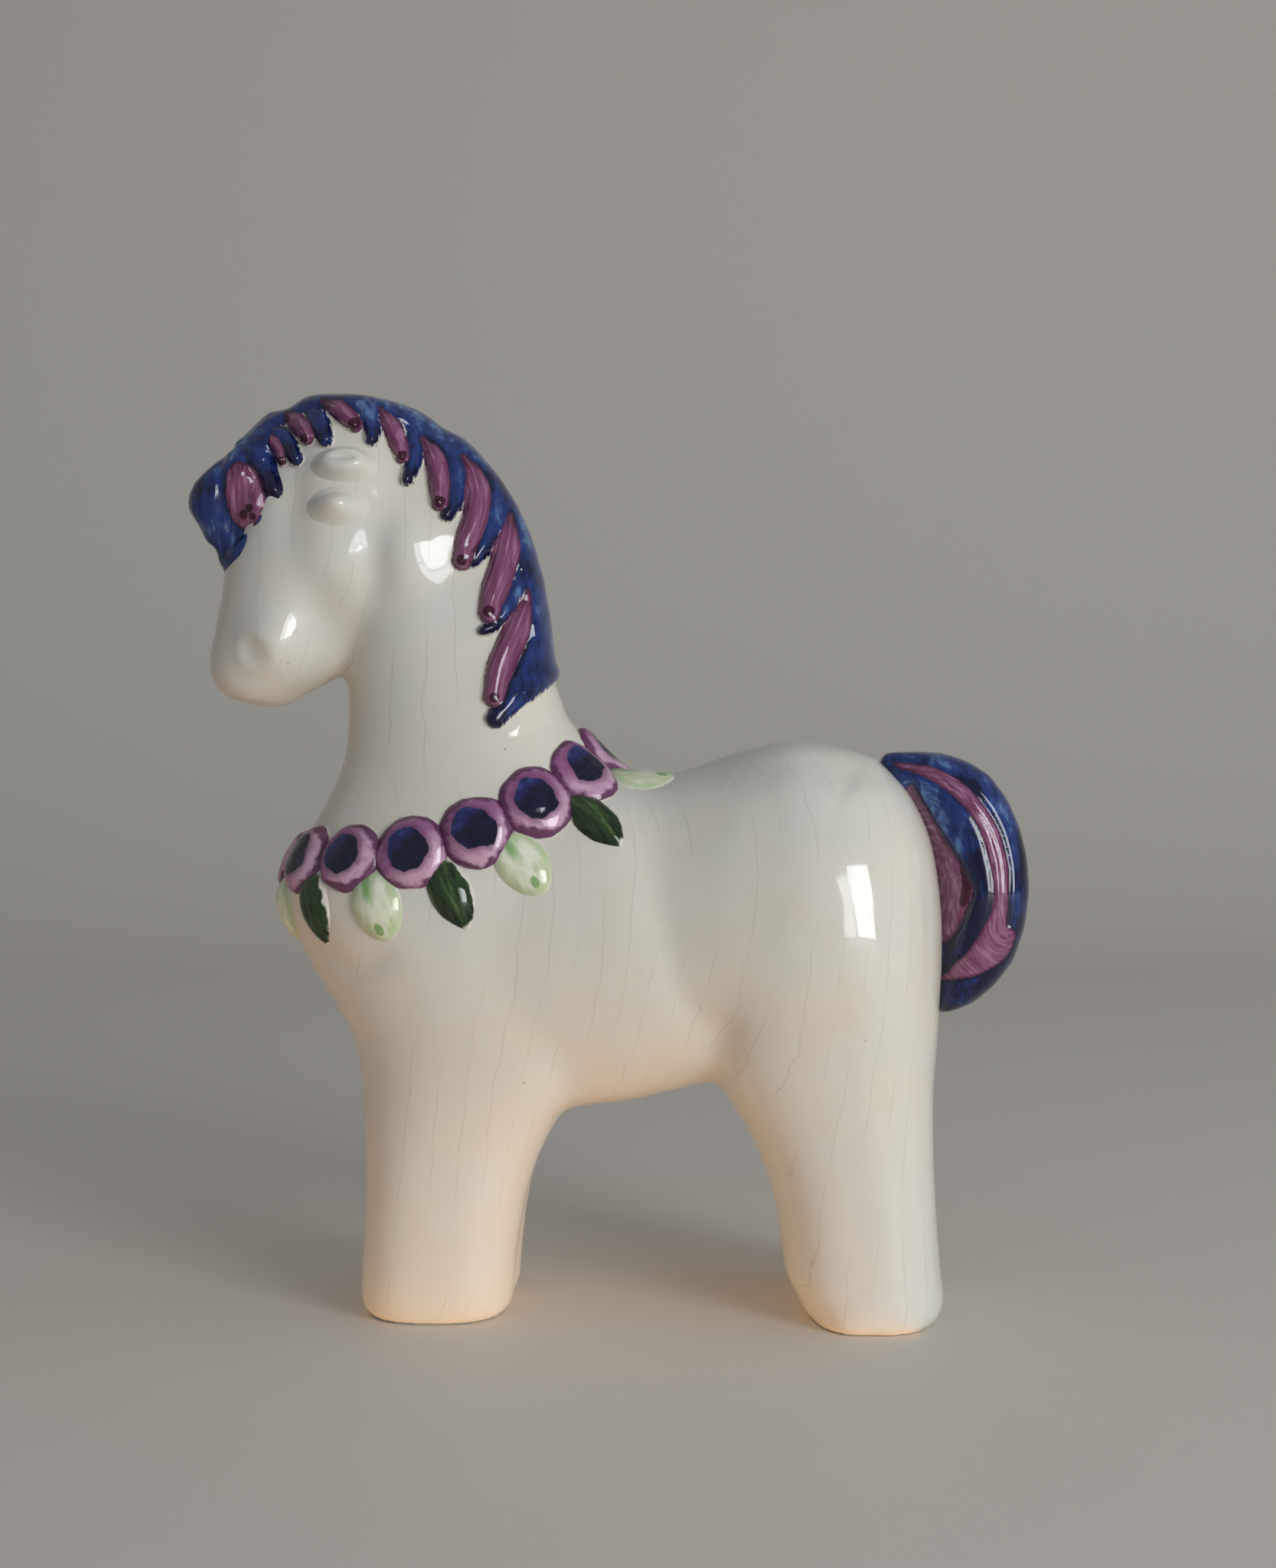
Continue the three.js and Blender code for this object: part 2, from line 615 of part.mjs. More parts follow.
function garlandHeadings() {
  const samples = 120;
  const points = [];
  for (let k = 0; k <= samples; k += 1) points.push(garlandSeat((180 * k) / samples, -1).middle);
  const lengths = [0];
  for (let k = 1; k <= samples; k += 1) lengths.push(lengths[k - 1] + points[k].distanceTo(points[k - 1]));
  const half = lengths[samples];
  const pitch = (2 * half) / flowerCount;
  const headingAt = (distance) => {
    let k = 1;
    while (k < samples && lengths[k] < distance) k += 1;
    const part = (distance - lengths[k - 1]) / (lengths[k] - lengths[k - 1]);
    return (180 * (k - 1 + part)) / samples;
  };
  return { pitch, headingAt };
}

const garland = garlandHeadings();
const flowerRadius = (garland.pitch - flowerGap) / 2;

function flowerSeat(order, side) {
  return garlandSeat(garland.headingAt(order * garland.pitch), side);
}

// A flower before it is cut to the body: a raised rim, a shallow dish and a low middle
function flowerBlank(seat, r) {
  const rim = flowerProfile.map(([share, rise]) => [share * r, rise * flowerThickness]);
  const dish = [(flowerEyeShare + flowerDishWidth) * r, flowerDishLevel * flowerThickness];
  const eye = [[flowerEyeShare * r, 0.95 * flowerThickness], [0, flowerThickness]];
  const root = [[0, -layDepth], [flowerRootShare * r, -layDepth]];
  return laidOn(boss([...root, ...rim, dish, ...eye], flowerSides), seat);
}

function leafSeat(order, side) {
  const start = garlandSeat(garland.headingAt((order - 0.5) * garland.pitch), side);
  const sign = start.down.z > 0 ? -1 : 1;
  const halfway = walkFrom(start, leafShift / 2, (sign * leafDrop) / 2);
  return walkFrom(halfway, leafShift / 2, (sign * leafDrop) / 2);
}

// A leaf's upper end is cut round the two flowers it hangs between.
function leafSolid(form, seat, order, side) {
  const sign = seat.down.z > 0 ? -1 : 1;
  const lean = THREE.MathUtils.degToRad(-sign * leafLeans[order - 1]);
  const geometry = lens(form.length, form.width, leafThickness, leafFullness, leafSides, leafRounds);
  const flowers = [order - 1, order].map((k) => flowerBlank(flowerSeat(k, side), flowerRadius + layGap));
  return laidOn(geometry.rotateZ(lean), seat).subtract(layBed).subtract(joined(flowers));
}

// Glazes
const glaze = (color, roughness) => new THREE.MeshStandardMaterial({ color, roughness, metalness: 0 });
const ivoryGlaze = glaze(0xdbd6c8, 0.12);
const hairGlaze = glaze(0x2f3d78, 0.15);
const flowerGlaze = glaze(0x7d3f6b, 0.15);
const darkLeafGlaze = glaze(0x2c4527, 0.18);
const paleLeafGlaze = glaze(0xb4c5a0, 0.14);

const horse = new THREE.Group();

// Adds a solid as a mesh in its own frame at its seat, or in the horse's frame without one.
function addPiece(name, geometry, material, seat) {
  const mesh = new THREE.Mesh(geometry, material);
  if (seat) {
    const frame = new THREE.Matrix4().makeBasis(seat.along, seat.down, seat.normal);
    mesh.quaternion.setFromRotationMatrix(frame);
    mesh.position.copy(seat.middle);
    mesh.updateMatrix();
    geometry.applyMatrix4(mesh.matrix.clone().invert());
  }
  mesh.name = name;
  horse.add(mesh);
}

const wholeBody = outerBody.subtract(joined([hollowSolid(), ventCut(), nostrilCuts()])).asOriginal().simplify(mergeWithin);
addPiece('body_left_half', bodyHalf(wholeBody, -1), ivoryGlaze);
addPiece('body_right_half', bodyHalf(wholeBody, 1), ivoryGlaze);
addPiece('mane', toGeometry(maneSolid().asOriginal().simplify(mergeWithin)), hairGlaze);
addPiece('forelock', toGeometry(forelockSolid(0).subtract(layBed)), hairGlaze);
addPiece('tail', toGeometry(tailSolid()), hairGlaze);

for (const [sideName, side] of [['left', -1], ['right', 1]]) {
  const ear = faceOval(earAhead, earDrop, earLength, earHeight, earThickness, side, 0.4);
  addPiece(`ear_${sideName}`, toGeometry(ear.solid), ivoryGlaze, ear.seat);
  const lid = faceOval(eyelidAhead, eyelidDrop, eyelidLength, eyelidHeight, eyelidThickness, side, 0);
  addPiece(`eyelid_${sideName}`, toGeometry(lid.solid), ivoryGlaze, lid.seat);
}

// Flowers: one on the chest, one on the withers, and the rest in pairs on the two sides
const flowersEachSide = flowerCount / 2 - 1;
const flowerPlaces = [['flower_chest', 0, -1], ['flower_withers', flowersEachSide + 1, -1]];
for (let k = 1; k <= flowersEachSide; k += 1) {
  flowerPlaces.push([`flower_left_${k}`, k, -1], [`flower_right_${k}`, k, 1]);
}
for (const [name, order, side] of flowerPlaces) {
  const seat = flowerSeat(order, side);
  addPiece(name, toGeometry(flowerBlank(seat, flowerRadius).subtract(layBed)), flowerGlaze, seat);
}

// Leaves: one under each gap between flowers, pale and dark in turn
for (let k = 1; k <= flowersEachSide + 1; k += 1) {
  for (const [sideName, side] of [['left', -1], ['right', 1]]) {
    const seat = leafSeat(k, side);
    const [form, material] = k % 2 === 1 ? [paleLeaf, paleLeafGlaze] : [darkLeaf, darkLeafGlaze];
    addPiece(`leaf_${sideName}_${k}`, toGeometry(leafSolid(form, seat, k, side)), material, seat);
  }
}

// The origin goes under the middle of the whole figurine.
horse.updateMatrixWorld(true);
const whole = new THREE.Box3().setFromObject(horse, true);
horse.position.set(-(whole.min.x + whole.max.x) / 2, 0, -whole.min.z);

const figurine = new THREE.Group();
figurine.add(horse);

export default figurine;
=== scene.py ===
# %% [markdown]
# # A hand-painted ceramic horse
# The real horse is hollow earthenware: two pressed halves joined down the middle, then a mane, a
# forelock, a tail and a garland of flowers and leaves laid on the soft clay, painted in blue, plum
# and green, and covered with one clear glaze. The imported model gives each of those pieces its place
# and size. This lesson turns them into soft, glazed, painted forms in the same frame.

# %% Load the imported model
import math

import bmesh
import bpy
import numpy as np
from mathutils import Matrix, Vector, noise
from mathutils.bvhtree import BVHTree


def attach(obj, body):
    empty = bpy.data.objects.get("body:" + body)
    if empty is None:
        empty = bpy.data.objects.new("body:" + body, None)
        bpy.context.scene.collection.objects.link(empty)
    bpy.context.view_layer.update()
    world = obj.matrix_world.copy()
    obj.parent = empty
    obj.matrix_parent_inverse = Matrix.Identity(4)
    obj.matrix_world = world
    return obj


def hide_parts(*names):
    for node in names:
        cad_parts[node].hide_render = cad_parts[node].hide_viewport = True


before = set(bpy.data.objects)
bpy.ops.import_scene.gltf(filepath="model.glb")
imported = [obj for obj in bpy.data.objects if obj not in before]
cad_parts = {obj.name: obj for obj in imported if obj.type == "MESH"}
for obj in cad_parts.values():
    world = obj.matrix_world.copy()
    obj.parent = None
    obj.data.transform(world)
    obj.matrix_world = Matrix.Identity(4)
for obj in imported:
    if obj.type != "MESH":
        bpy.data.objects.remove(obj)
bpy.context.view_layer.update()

MM = 0.001

# %% [markdown]
# ## The camera
# The photograph was taken from the horse's left side, at about the height of its neck and from
# roughly 37 cm. The horse stands a little right of the middle, so the camera is turned slightly
# left and tipped slightly down, and its lens needs no shift.

# %% Camera
FOCAL_PIXELS = 2900
PHOTO_SIZE = (1667, 2048)
SENSOR = 36
CAMERA_PLACE = (0.0153, -0.366, 0.095)
TIPPED_DOWN, TURNED_LEFT = 1.38, 1.62

camera_data = bpy.data.cameras.new("camera")
camera_data.sensor_width = SENSOR
camera_data.lens = SENSOR * FOCAL_PIXELS / max(PHOTO_SIZE)
camera = bpy.data.objects.new("camera", camera_data)
camera.location = CAMERA_PLACE
camera.rotation_euler = (math.radians(90 - TIPPED_DOWN), 0, math.radians(TURNED_LEFT))
bpy.context.scene.collection.objects.link(camera)
bpy.context.scene.camera = camera
print("lens:", round(camera_data.lens, 1), "mm")

# %% [markdown]
# ## Node trees written as sums
# A material's maths is easier to read as Python than as a web of nodes. One small class wraps a
# socket and overloads the operators, so `1 - mask` adds a Math node by itself. Another adds nodes
# to any tree. Everything painted or pressed below is written with these two.

# %% Node words
class Tone:
    """A value inside a node tree, which plain operators can combine."""

    def __init__(self, shop, socket):
        self.shop, self.socket = shop, socket

    def __abs__(self):
        return self.shop.node("ShaderNodeMath", {"operation": "ABSOLUTE"}, {0: self})

    def step(self, low, high):
        """0 below low, 1 above high, and a soft rise between them."""
        return self.shop.node(
            "ShaderNodeMapRange", {"interpolation_type": "SMOOTHSTEP"},
            {"Value": self, "From Min": low, "From Max": high, "To Min": 0.0, "To Max": 1.0})


def operator(operation, swapped=False):
    """A method that combines two values with one Math node."""
    def combined(tone, other):
        first, second = (other, tone) if swapped else (tone, other)
        return tone.shop.node("ShaderNodeMath", {"operation": operation}, {0: first, 1: second})
    return combined


for word, operation in (("add", "ADD"), ("sub", "SUBTRACT"), ("mul", "MULTIPLY")):
    setattr(Tone, f"__{word}__", operator(operation))
    setattr(Tone, f"__r{word}__", operator(operation, swapped=True))
Tone.most = operator("MAXIMUM")


class NodeShop:
    """A node tree in the making."""

    def __init__(self, tree):
        self.tree = tree

    def node(self, kind, settings=None, inputs=None, out=0):
        made = self.tree.nodes.new(kind)
        for key, value in (settings or {}).items():
            setattr(made, key, value)
        for key, value in (inputs or {}).items():
            if isinstance(value, Tone):
                self.tree.links.new(value.socket, made.inputs[key])
            else:
                made.inputs[key].default_value = value
        return Tone(self, made.outputs[out]) if len(made.outputs) else made

    def vector(self, x, y, z=0.0):
        return self.node("ShaderNodeCombineXYZ", None, {0: x, 1: y, 2: z})

    def scaled(self, vector, by):
        return self.node("ShaderNodeVectorMath", {"operation": "MULTIPLY"}, {0: vector, 1: by})


class GlazeShop(NodeShop):
    """A material in the making."""

    def __init__(self, name):
        self.material = bpy.data.materials.new(name)
        self.material.use_nodes = True
        super().__init__(self.material.node_tree)
        self.tree.nodes.clear()

    def blend(self, factor, first, second):
        """Colour first where factor is 0, second where it is 1."""
        return self.node("ShaderNodeMix", {"data_type": "RGBA"},
                         {0: factor, 6: first, 7: second}, out=2)

    def length(self, x, y):
        return self.node("ShaderNodeVectorMath", {"operation": "LENGTH"},
                         {0: self.vector(x, y)}, out="Value")

    def cloud(self, where, scale, detail=3.0, roughness=0.5, distortion=0.0):
        """Soft noise from 0 to 1, with scale in cycles for each unit of where."""
        return self.node("ShaderNodeTexNoise", None, {
            "Vector": where, "Scale": scale, "Detail": detail,
            "Roughness": roughness, "Distortion": distortion})

    def read(self, *names):
        """Numbers that the mesh carries at its points."""
        return [self.node("ShaderNodeAttribute", {"attribute_name": name}, None, out=2)
                for name in names]

    def place(self):
        """The point's place on the object, in millimetres."""
        spot = self.node("ShaderNodeTexCoord", None, None, out=3)
        return self.scaled(spot, (1 / MM, 1 / MM, 1 / MM))


def paint(red, green, blue):
    """A colour as it is seen, from 0 to 255, as the linear colour that a shader wants."""
    linear = [(v / 255 / 12.92) if v <= 10 else ((v / 255 + 0.055) / 1.055) ** 2.4
              for v in (red, green, blue)]
    return (*linear, 1.0)


print("node words are ready")

# %% [markdown]
# ## The clear glaze over ivory clay
# The whole horse is dipped in one clear glaze over a cream body. The glaze has crazed: long fine
# cracks run mostly up and down, about 4 mm apart. A few iron specks show through, the colour drifts
# from warm to cool, and the glaze is wiped away at the very foot so that it doesn't stick to the
# kiln shelf. One number grows across the body and wavers with slow noise, and a crack lies wherever
# it passes a half. That gives endless lines at the right scale without any image.

# %% Ivory glaze
IVORY = paint(211, 208, 198)
IVORY_WARM = paint(216, 206, 188)
IVORY_COOL = paint(204, 206, 200)
CRACK = paint(172, 165, 148)
SPECK = paint(112, 96, 78)
WIPED = paint(226, 214, 192)
GLOSS = 0.075
GLAZE_IOR = 1.52


def crackle(shop, where):
    """A mask of fine cracks: 1 on a crack and 0 between them."""
    slow = shop.cloud(shop.scaled(where, (1.0, 1.0, 0.35)), 0.03, 2.0, 0.5)
    quick = shop.cloud(shop.scaled(where, (1.0, 1.0, 0.5)), 0.14, 3.0, 0.55)
    x, y, z = [shop.node("ShaderNodeSeparateXYZ", None, {0: where}, out=k) for k in range(3)]
    across = x * 0.22 + y * 0.12 - z * 0.02 + slow * 2.0 + quick * 0.7
    off = abs(shop.node("ShaderNodeMath", {"operation": "FRACT"}, {0: across}) - 0.5)
    kept = shop.cloud(shop.scaled(where, (1.0, 1.0, 0.3)), 0.16, 2.0).step(0.42, 0.58)
    return (1 - off.step(0.008, 0.03)) * kept


def ivory_body(shop, where):
    """The cream colour with its drift, cracks and specks, and the height of its surface."""
    drift = shop.cloud(where, 0.028, 2.0)
    colour = shop.blend(drift.step(0.35, 0.7), IVORY_WARM, IVORY_COOL)
    colour = shop.blend(shop.cloud(where, 0.11, 3.0).step(0.3, 0.8), IVORY, colour)
    cracks = crackle(shop, where)
    colour = shop.blend(cracks * 0.33, colour, CRACK)
    dots = shop.node("ShaderNodeTexVoronoi", None, {"Vector": where, "Scale": 0.2})
    rare = shop.cloud(where, 0.06, 0.0).step(0.47, 0.53)
    colour = shop.blend((1 - dots.step(0.02, 0.05)) * rare * 0.6, colour, SPECK)
    height = shop.cloud(where, 0.16, 1.0) * 0.045 - cracks * 0.005
    return colour, height


def glazed(shop, colour, height, roughness=GLOSS):
    """Closes a material: colour under a clear glaze whose height is in millimetres."""
    bump = shop.node("ShaderNodeBump", None, {"Height": height, "Strength": 1.0, "Distance": MM})
    shader = shop.node("ShaderNodeBsdfPrincipled", None, {
        "Base Color": colour, "Roughness": roughness, "IOR": GLAZE_IOR, "Normal": bump})
    shop.node("ShaderNodeOutputMaterial", None, {"Surface": shader})
    return shop.material


def make_ivory():
    shop = GlazeShop("ivory_glaze")
    where = shop.place()
    colour, height = ivory_body(shop, where)
    level = shop.node("ShaderNodeSeparateXYZ", None, {0: where}, out=2)
    ragged = level + (shop.cloud(where, 0.5, 2.0) - 0.5) * 0.7
    wiped = 1 - ragged.step(0.45, 0.8)
    return glazed(shop, shop.blend(wiped, colour, WIPED), height, GLOSS + wiped * 0.5)


ivory_glaze = make_ivory()
print("made", ivory_glaze.name)

# %% [markdown]
# ## Helpers for clay
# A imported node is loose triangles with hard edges. A voxel remesh makes one even skin of it, and a
# Laplacian relax softens that skin as a wet sponge softens clay. Relaxing alone also shrinks it, so
# what was lost is softened and given back. Points are kept in millimetres until a mesh is made.

# %% Clay helpers
def linked(name, mesh):
    thing = bpy.data.objects.new(name, mesh)
    bpy.context.scene.collection.objects.link(thing)
    return thing


def settled(thing):
    """Puts what the modifiers make into the object's own mesh."""
    bpy.context.view_layer.update()
    graph = bpy.context.evaluated_depsgraph_get()
    mesh = bpy.data.meshes.new_from_object(thing.evaluated_get(graph))
    thing.modifiers.clear()
    old, thing.data = thing.data, mesh
    bpy.data.meshes.remove(old)
    return thing


def points_of(mesh):
    points = np.empty(len(mesh.vertices) * 3)
    mesh.vertices.foreach_get("co", points)
    return points.reshape(-1, 3)


def modified(name, mesh, kind, **settings):
    """The points and four-sided faces that one modifier makes of a mesh."""
    thing = linked(name, mesh)
    modifier = thing.modifiers.new(name, kind)
    for key, value in settings.items():
        setattr(modifier, key, value)
    made = settled(thing).data
    points = points_of(made)
    faces = np.empty(len(made.loops), dtype=int)
    made.loops.foreach_get("vertex_index", faces)
    bpy.data.objects.remove(thing)
    bpy.data.meshes.remove(made)
    return points, faces.reshape(-1, 4)


def joined_copy(names):
    """The named CAD nodes as one clean bmesh, in metres."""
    clay = bmesh.new()
    for name in names:
        clay.from_mesh(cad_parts[name].data)
    bmesh.ops.remove_doubles(clay, verts=clay.verts, dist=1e-6)
    return clay


def remeshed(name, clay, voxel):
    """One even skin round a closed bmesh, with its points in mm."""
    mesh = bpy.data.meshes.new(name)
    clay.to_mesh(mesh)
    clay.free()
    points, faces = modified(name, mesh, "REMESH", mode="VOXEL", voxel_size=voxel * MM)
    return points / MM, faces


def sponged(points, faces, steps, give_back=True):
    """Softens a skin, and gives back what it lost in volume."""
    count = len(points)
    pairs = np.concatenate([np.sort(faces[:, [k, (k + 1) % 4]], axis=1) for k in range(4)])
    first, second = np.unique(pairs, axis=0).T
    degree = np.bincount(np.r_[first, second], minlength=count)

    def relaxed(values):
        for _ in range(steps):
            total = [np.bincount(first, column[second], count)
                     + np.bincount(second, column[first], count) for column in values.T]
            values = values + 0.5 * (np.stack(total / degree, axis=1) - values)
        return values

    soft = relaxed(points)
    return soft + relaxed(points - soft) if give_back else soft


def outward(points, faces):
    """The outward direction at each point."""
    a, b, c, d = (points[faces[:, k]] for k in range(4))
    face_normals = np.cross(c - a, d - b)
    normals = np.zeros_like(points)
    for k in range(4):
        for axis in range(3):
            normals[:, axis] += np.bincount(faces[:, k], face_normals[:, axis], len(points))
    return normals / np.maximum(np.linalg.norm(normals, axis=1, keepdims=True), 1e-12)


def smooth_rise(values, low, high):
    """0 below low, 1 above high, and a soft rise between them."""
    t = np.clip((values - low) / (high - low), 0, 1)
    return t * t * (3 - 2 * t)


def carry(mesh, fields):
    """Gives a mesh one number at each point for each field."""
    for key, values in fields.items():
        mesh.attributes.new(key, "FLOAT", "POINT").data.foreach_set(
            "value", np.asarray(values, dtype=np.float32))


def piece_from(name, points, faces, material, fields):
    """A finished piece from points in mm, with the numbers that its paint reads."""
    mesh = bpy.data.meshes.new(name)
    mesh.from_pydata((points * MM).tolist(), [], np.asarray(faces).tolist())
    mesh.update()
    mesh.shade_smooth()
    carry(mesh, fields)
    mesh.materials.append(material)
    thing = linked(name, mesh)
    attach(thing, "root")
    return thing


print("clay helpers are ready")

# %% [markdown]
# ## Reading a drawing on a surface
# The mane, forelock and tail are painted along curves. Each curve is a few points seen from the
# side, in millimetres: x towards the tail and z up. One helper gives a point's distance to a path
# and how far along it the point lies, and another how deep it lies inside a closed outline. Their
# numbers drive both the relief and the paint, so the two always agree.

# %% Drawing helpers
def flowing(points, spans=6, closed=False):
    """A Catmull-Rom curve through the points."""
    p = np.asarray(points, dtype=float)
    if closed:
        p = np.vstack([p[-1], p, p[0], p[1]])
    else:
        p = np.vstack([2 * p[0] - p[1], p, 2 * p[-1] - p[-2]])
    t = np.linspace(0, 1, spans, endpoint=False)[:, None]
    rows = [0.5 * (2 * b + (c - a) * t + (2 * a - 5 * b + 4 * c - d) * t ** 2
                   + (3 * b - a - 3 * c + d) * t ** 3)
            for a, b, c, d in zip(p[:-3], p[1:-2], p[2:-1], p[3:])]
    curve = np.vstack(rows)
    return curve if closed else np.vstack([curve, p[-2]])


def nearest_on(spots, curve):
    """Distance, side and run along the curve for each spot."""
    best = np.full(len(spots), np.inf)
    side, run = np.zeros(len(spots)), np.zeros(len(spots))
    start = 0.0
    for a, b in zip(curve[:-1], curve[1:]):
        line = b - a
        length = np.hypot(*line)
        if length < 1e-9:
            continue
        offset = spots - a
        t = np.clip(offset @ line / length ** 2, 0, 1)
        away = np.hypot(*(offset - t[:, None] * line).T)
        cross = line[0] * offset[:, 1] - line[1] * offset[:, 0]
        closer = away < best
        best[closer] = away[closer]
        side[closer] = np.sign(cross[closer])
        run[closer] = start + t[closer] * length
        start += length
    return best, side, run / start


def depth_inside(spots, outline):
    """Positive inside the closed outline, negative outside, in mm."""
    ring = np.vstack([outline, outline[:1]])
    inside = np.zeros(len(spots), dtype=bool)
    x, z = spots.T
    for (ax, az), (bx, bz) in zip(ring[:-1], ring[1:]):
        crosses = (az > z) != (bz > z)
        with np.errstate(divide="ignore", invalid="ignore"):
            inside ^= crosses & (x < (bx - ax) * (z - az) / (bz - az) + ax)
    away = nearest_on(spots, ring)[0]
    return np.where(inside, away, -away)


def bell(values, width):
    """1 at zero, falling away over the width on both sides."""
    return np.exp(-(values / width) ** 2)


print("drawing helpers are ready")

# %% [markdown]
# ## Two outlines from the photograph
# Seen from the side, the hair has one flowing outline: it rolls over the brow, dips at the poll and
# runs down the crest. The back has another, from the garland over the haunch to the tail. A thing
# that stands nearer the camera looks larger, so each point is first carried to the middle plane
# along its line of sight. At stations along a line, the outermost point gives the crest's distance
# from it, and what faces up or forward there moves by that much. The move fades down the sides.

# %% Outlines
HAIR_LINE = [(-63.4, 122.9), (-65.3, 124.8), (-67.5, 127.4), (-69.1, 130.6), (-69.3, 134.0),
             (-67.2, 137.6), (-63.3, 140.4), (-60.4, 143.4), (-57.3, 146.5), (-53.5, 148.9),
             (-49.3, 150.3), (-44.8, 150.7), (-40.5, 150.4), (-36.3, 149.4), (-32.3, 148.1),
             (-28.6, 146.1), (-25.0, 144.0), (-21.9, 141.3), (-19.1, 138.3), (-16.7, 135.0),
             (-14.7, 131.4), (-13.0, 127.7), (-11.7, 123.7), (-10.6, 119.5), (-9.7, 115.0),
             (-9.0, 110.2), (-8.5, 105.6), (-8.6, 102.8)]
NAPE_LINE = HAIR_LINE[9:-2] + [(-8.5, 106.6), (-8.4, 104.2), (-7.7, 101.0), (-6.4, 97.8),
                               (-4.9, 94.7)]
BACK_LINE = [(4.0, 87.9), (7.0, 87.8), (9.6, 88.0), (12.1, 88.5), (14.6, 89.2), (17.1, 90.1),
             (19.7, 91.0), (22.2, 91.8), (24.7, 92.5), (27.2, 93.1), (29.8, 93.4), (32.3, 93.4),
             (35.3, 93.0), (39.5, 92.0), (42.4, 90.9), (44.5, 89.8)]
STATIONS = np.linspace(0, 1, 81)
STATION_REACH = 0.015


def as_photographed(points):
    """Where each point appears on the middle plane, seen from the camera's side of the horse."""
    eye = np.array(camera.location) / MM
    nearer = eye[1] / (eye[1] + np.abs(points[:, 1]))
    return eye[[0, 2]] + (points[:, [0, 2]] - eye[[0, 2]]) * nearer[:, None]


def drawn_to_line(foot, top, normals, line, lift, limits, fades):
    """Moves foot so that the crest of top comes to lie on the line, or lift mm outside it."""
    away, side, run = nearest_on(as_photographed(top), flowing(line))
    flat = normals[:, [0, 2]]
    upright = np.hypot(*flat.T)
    out, along = (side * away)[upright > 0.8], run[upright > 0.8]
    crest = [out[np.abs(along - station) < STATION_REACH].max(initial=-np.inf)
             for station in STATIONS]
    known = np.isfinite(crest)
    if not known.any():
        return foot
    crest = np.interp(STATIONS, STATIONS[known], np.array(crest)[known])
    crest = np.convolve(np.pad(crest, 2, mode="edge"), np.ones(5) / 5, mode="valid")
    weight = (smooth_rise(upright, 0.3, 0.95) * smooth_rise(run, 0, fades[0])
              * (1 - smooth_rise(run, 1 - fades[1], 1)))
    reach = np.clip(lift(run) - np.interp(run, STATIONS, crest), *limits) * weight
    moved = foot.copy()
    moved[:, [0, 2]] += flat * (reach / np.maximum(upright, 1e-6))[:, None]
    return moved


print("outline points:", len(HAIR_LINE), "and", len(BACK_LINE))

# %% [markdown]
# ## The body
# The body is hollow, so the two packed halves have an outer and an inner skin. Only the outer one
# shows. The middle seam was sponged away by the maker, so both halves become one soft skin. The
# vent hole is left out here and drilled again once the skin is soft.

# %% Outer skin of the two halves
VENT_X = 6.75
VENT_RADIUS = 2.5
BODY_VOXEL = 0.8


def is_cut_or_vent(face):
    """True for the cut faces on the middle plane and for the vent's wall."""
    middle = face.calc_center_median() / MM
    return (all(abs(v.co.y) < 2e-6 for v in face.verts)
            or (math.hypot(middle.x - VENT_X, middle.y) < VENT_RADIUS + 0.05
                and abs(face.normal.z) < 0.7))


def outer_skin():
    """The closed outer skin of both halves, without the hollow."""
    clay = joined_copy(["body_left_half", "body_right_half"])
    bmesh.ops.delete(clay, geom=[f for f in clay.faces if is_cut_or_vent(f)], context="FACES")
    outer, waiting = set(), [max(clay.verts, key=lambda v: v.co.z)]
    while waiting:
        vert = waiting.pop()
        if vert not in outer:
            outer.add(vert)
            waiting += [edge.other_vert(vert) for edge in vert.link_edges]
    bmesh.ops.delete(clay, geom=[v for v in clay.verts if v not in outer], context="VERTS")
    bmesh.ops.holes_fill(clay, edges=[e for e in clay.edges if e.is_boundary])
    bmesh.ops.triangulate(clay, faces=clay.faces[:])
    print("open edges left:", sum(e.is_boundary for e in clay.edges))
    return clay


skin_points, skin_faces = remeshed("body", outer_skin(), BODY_VOXEL)
print("skin points:", len(skin_points))

# %% [markdown]
# ## Softening and shaping the skin
# The soles must stay flat where the horse stands, so the sponge works fully only above the first
# few millimetres. Soft ridges, folds, swellings and hollows follow, in places read from the
# photograph, with low unevenness from the maker's hands. The nostrils are shallow thumbed dishes,
# pressed in after the sponge, which would wipe them away. The back and the nape are drawn to their
# outlines, and strips where a crease is left are rubbed once more. The feet are rounded last.

# %% Soften and shape
SPONGE_STEPS = 34
NOSTRIL = (-55.9, 107.9)
NOSTRIL_RADIUS = 2.6
NOSTRIL_DEPTH = 0.5
NOSTRIL_LIP = 0.16
HAND_SHAKE = 0.16
# Heights in mm: the soles' flat part, where the sponge works fully, and the tops of the feet
SOLE_TOP, SPONGED_FROM, FEET_TOP = 0.4, 4.0, 9
HIND_LEGS_FROM_X, HIND_FOOT_X = 20, 42.0
BACK_FROM_Z, NAPE_FROM_Z = 78, 92
# How far the skin lies below the mane's outline
NAPE_SINK = 1.2
# Soft ridges and folds seen from the side: path, width and height in mm
SIDE_FORMS = [
    ([(20.5, 91.0), (20.0, 82.0), (19.5, 72.0), (19.3, 62.0), (19.3, 54.0), (19.8, 47.0)], 4.8, 2.2),
    ([(-50.0, 61.5), (-44.0, 59.0), (-39.4, 57.6), (-35.3, 58.8), (-31.5, 61.0)], 2.3, -0.55),
    ([(7.4, 86.0), (7.8, 77.0), (9.0, 68.2), (11.0, 61.0), (13.6, 53.7), (16.6, 46.0),
      (18.4, 41.0)], 3.8, -0.8),
]
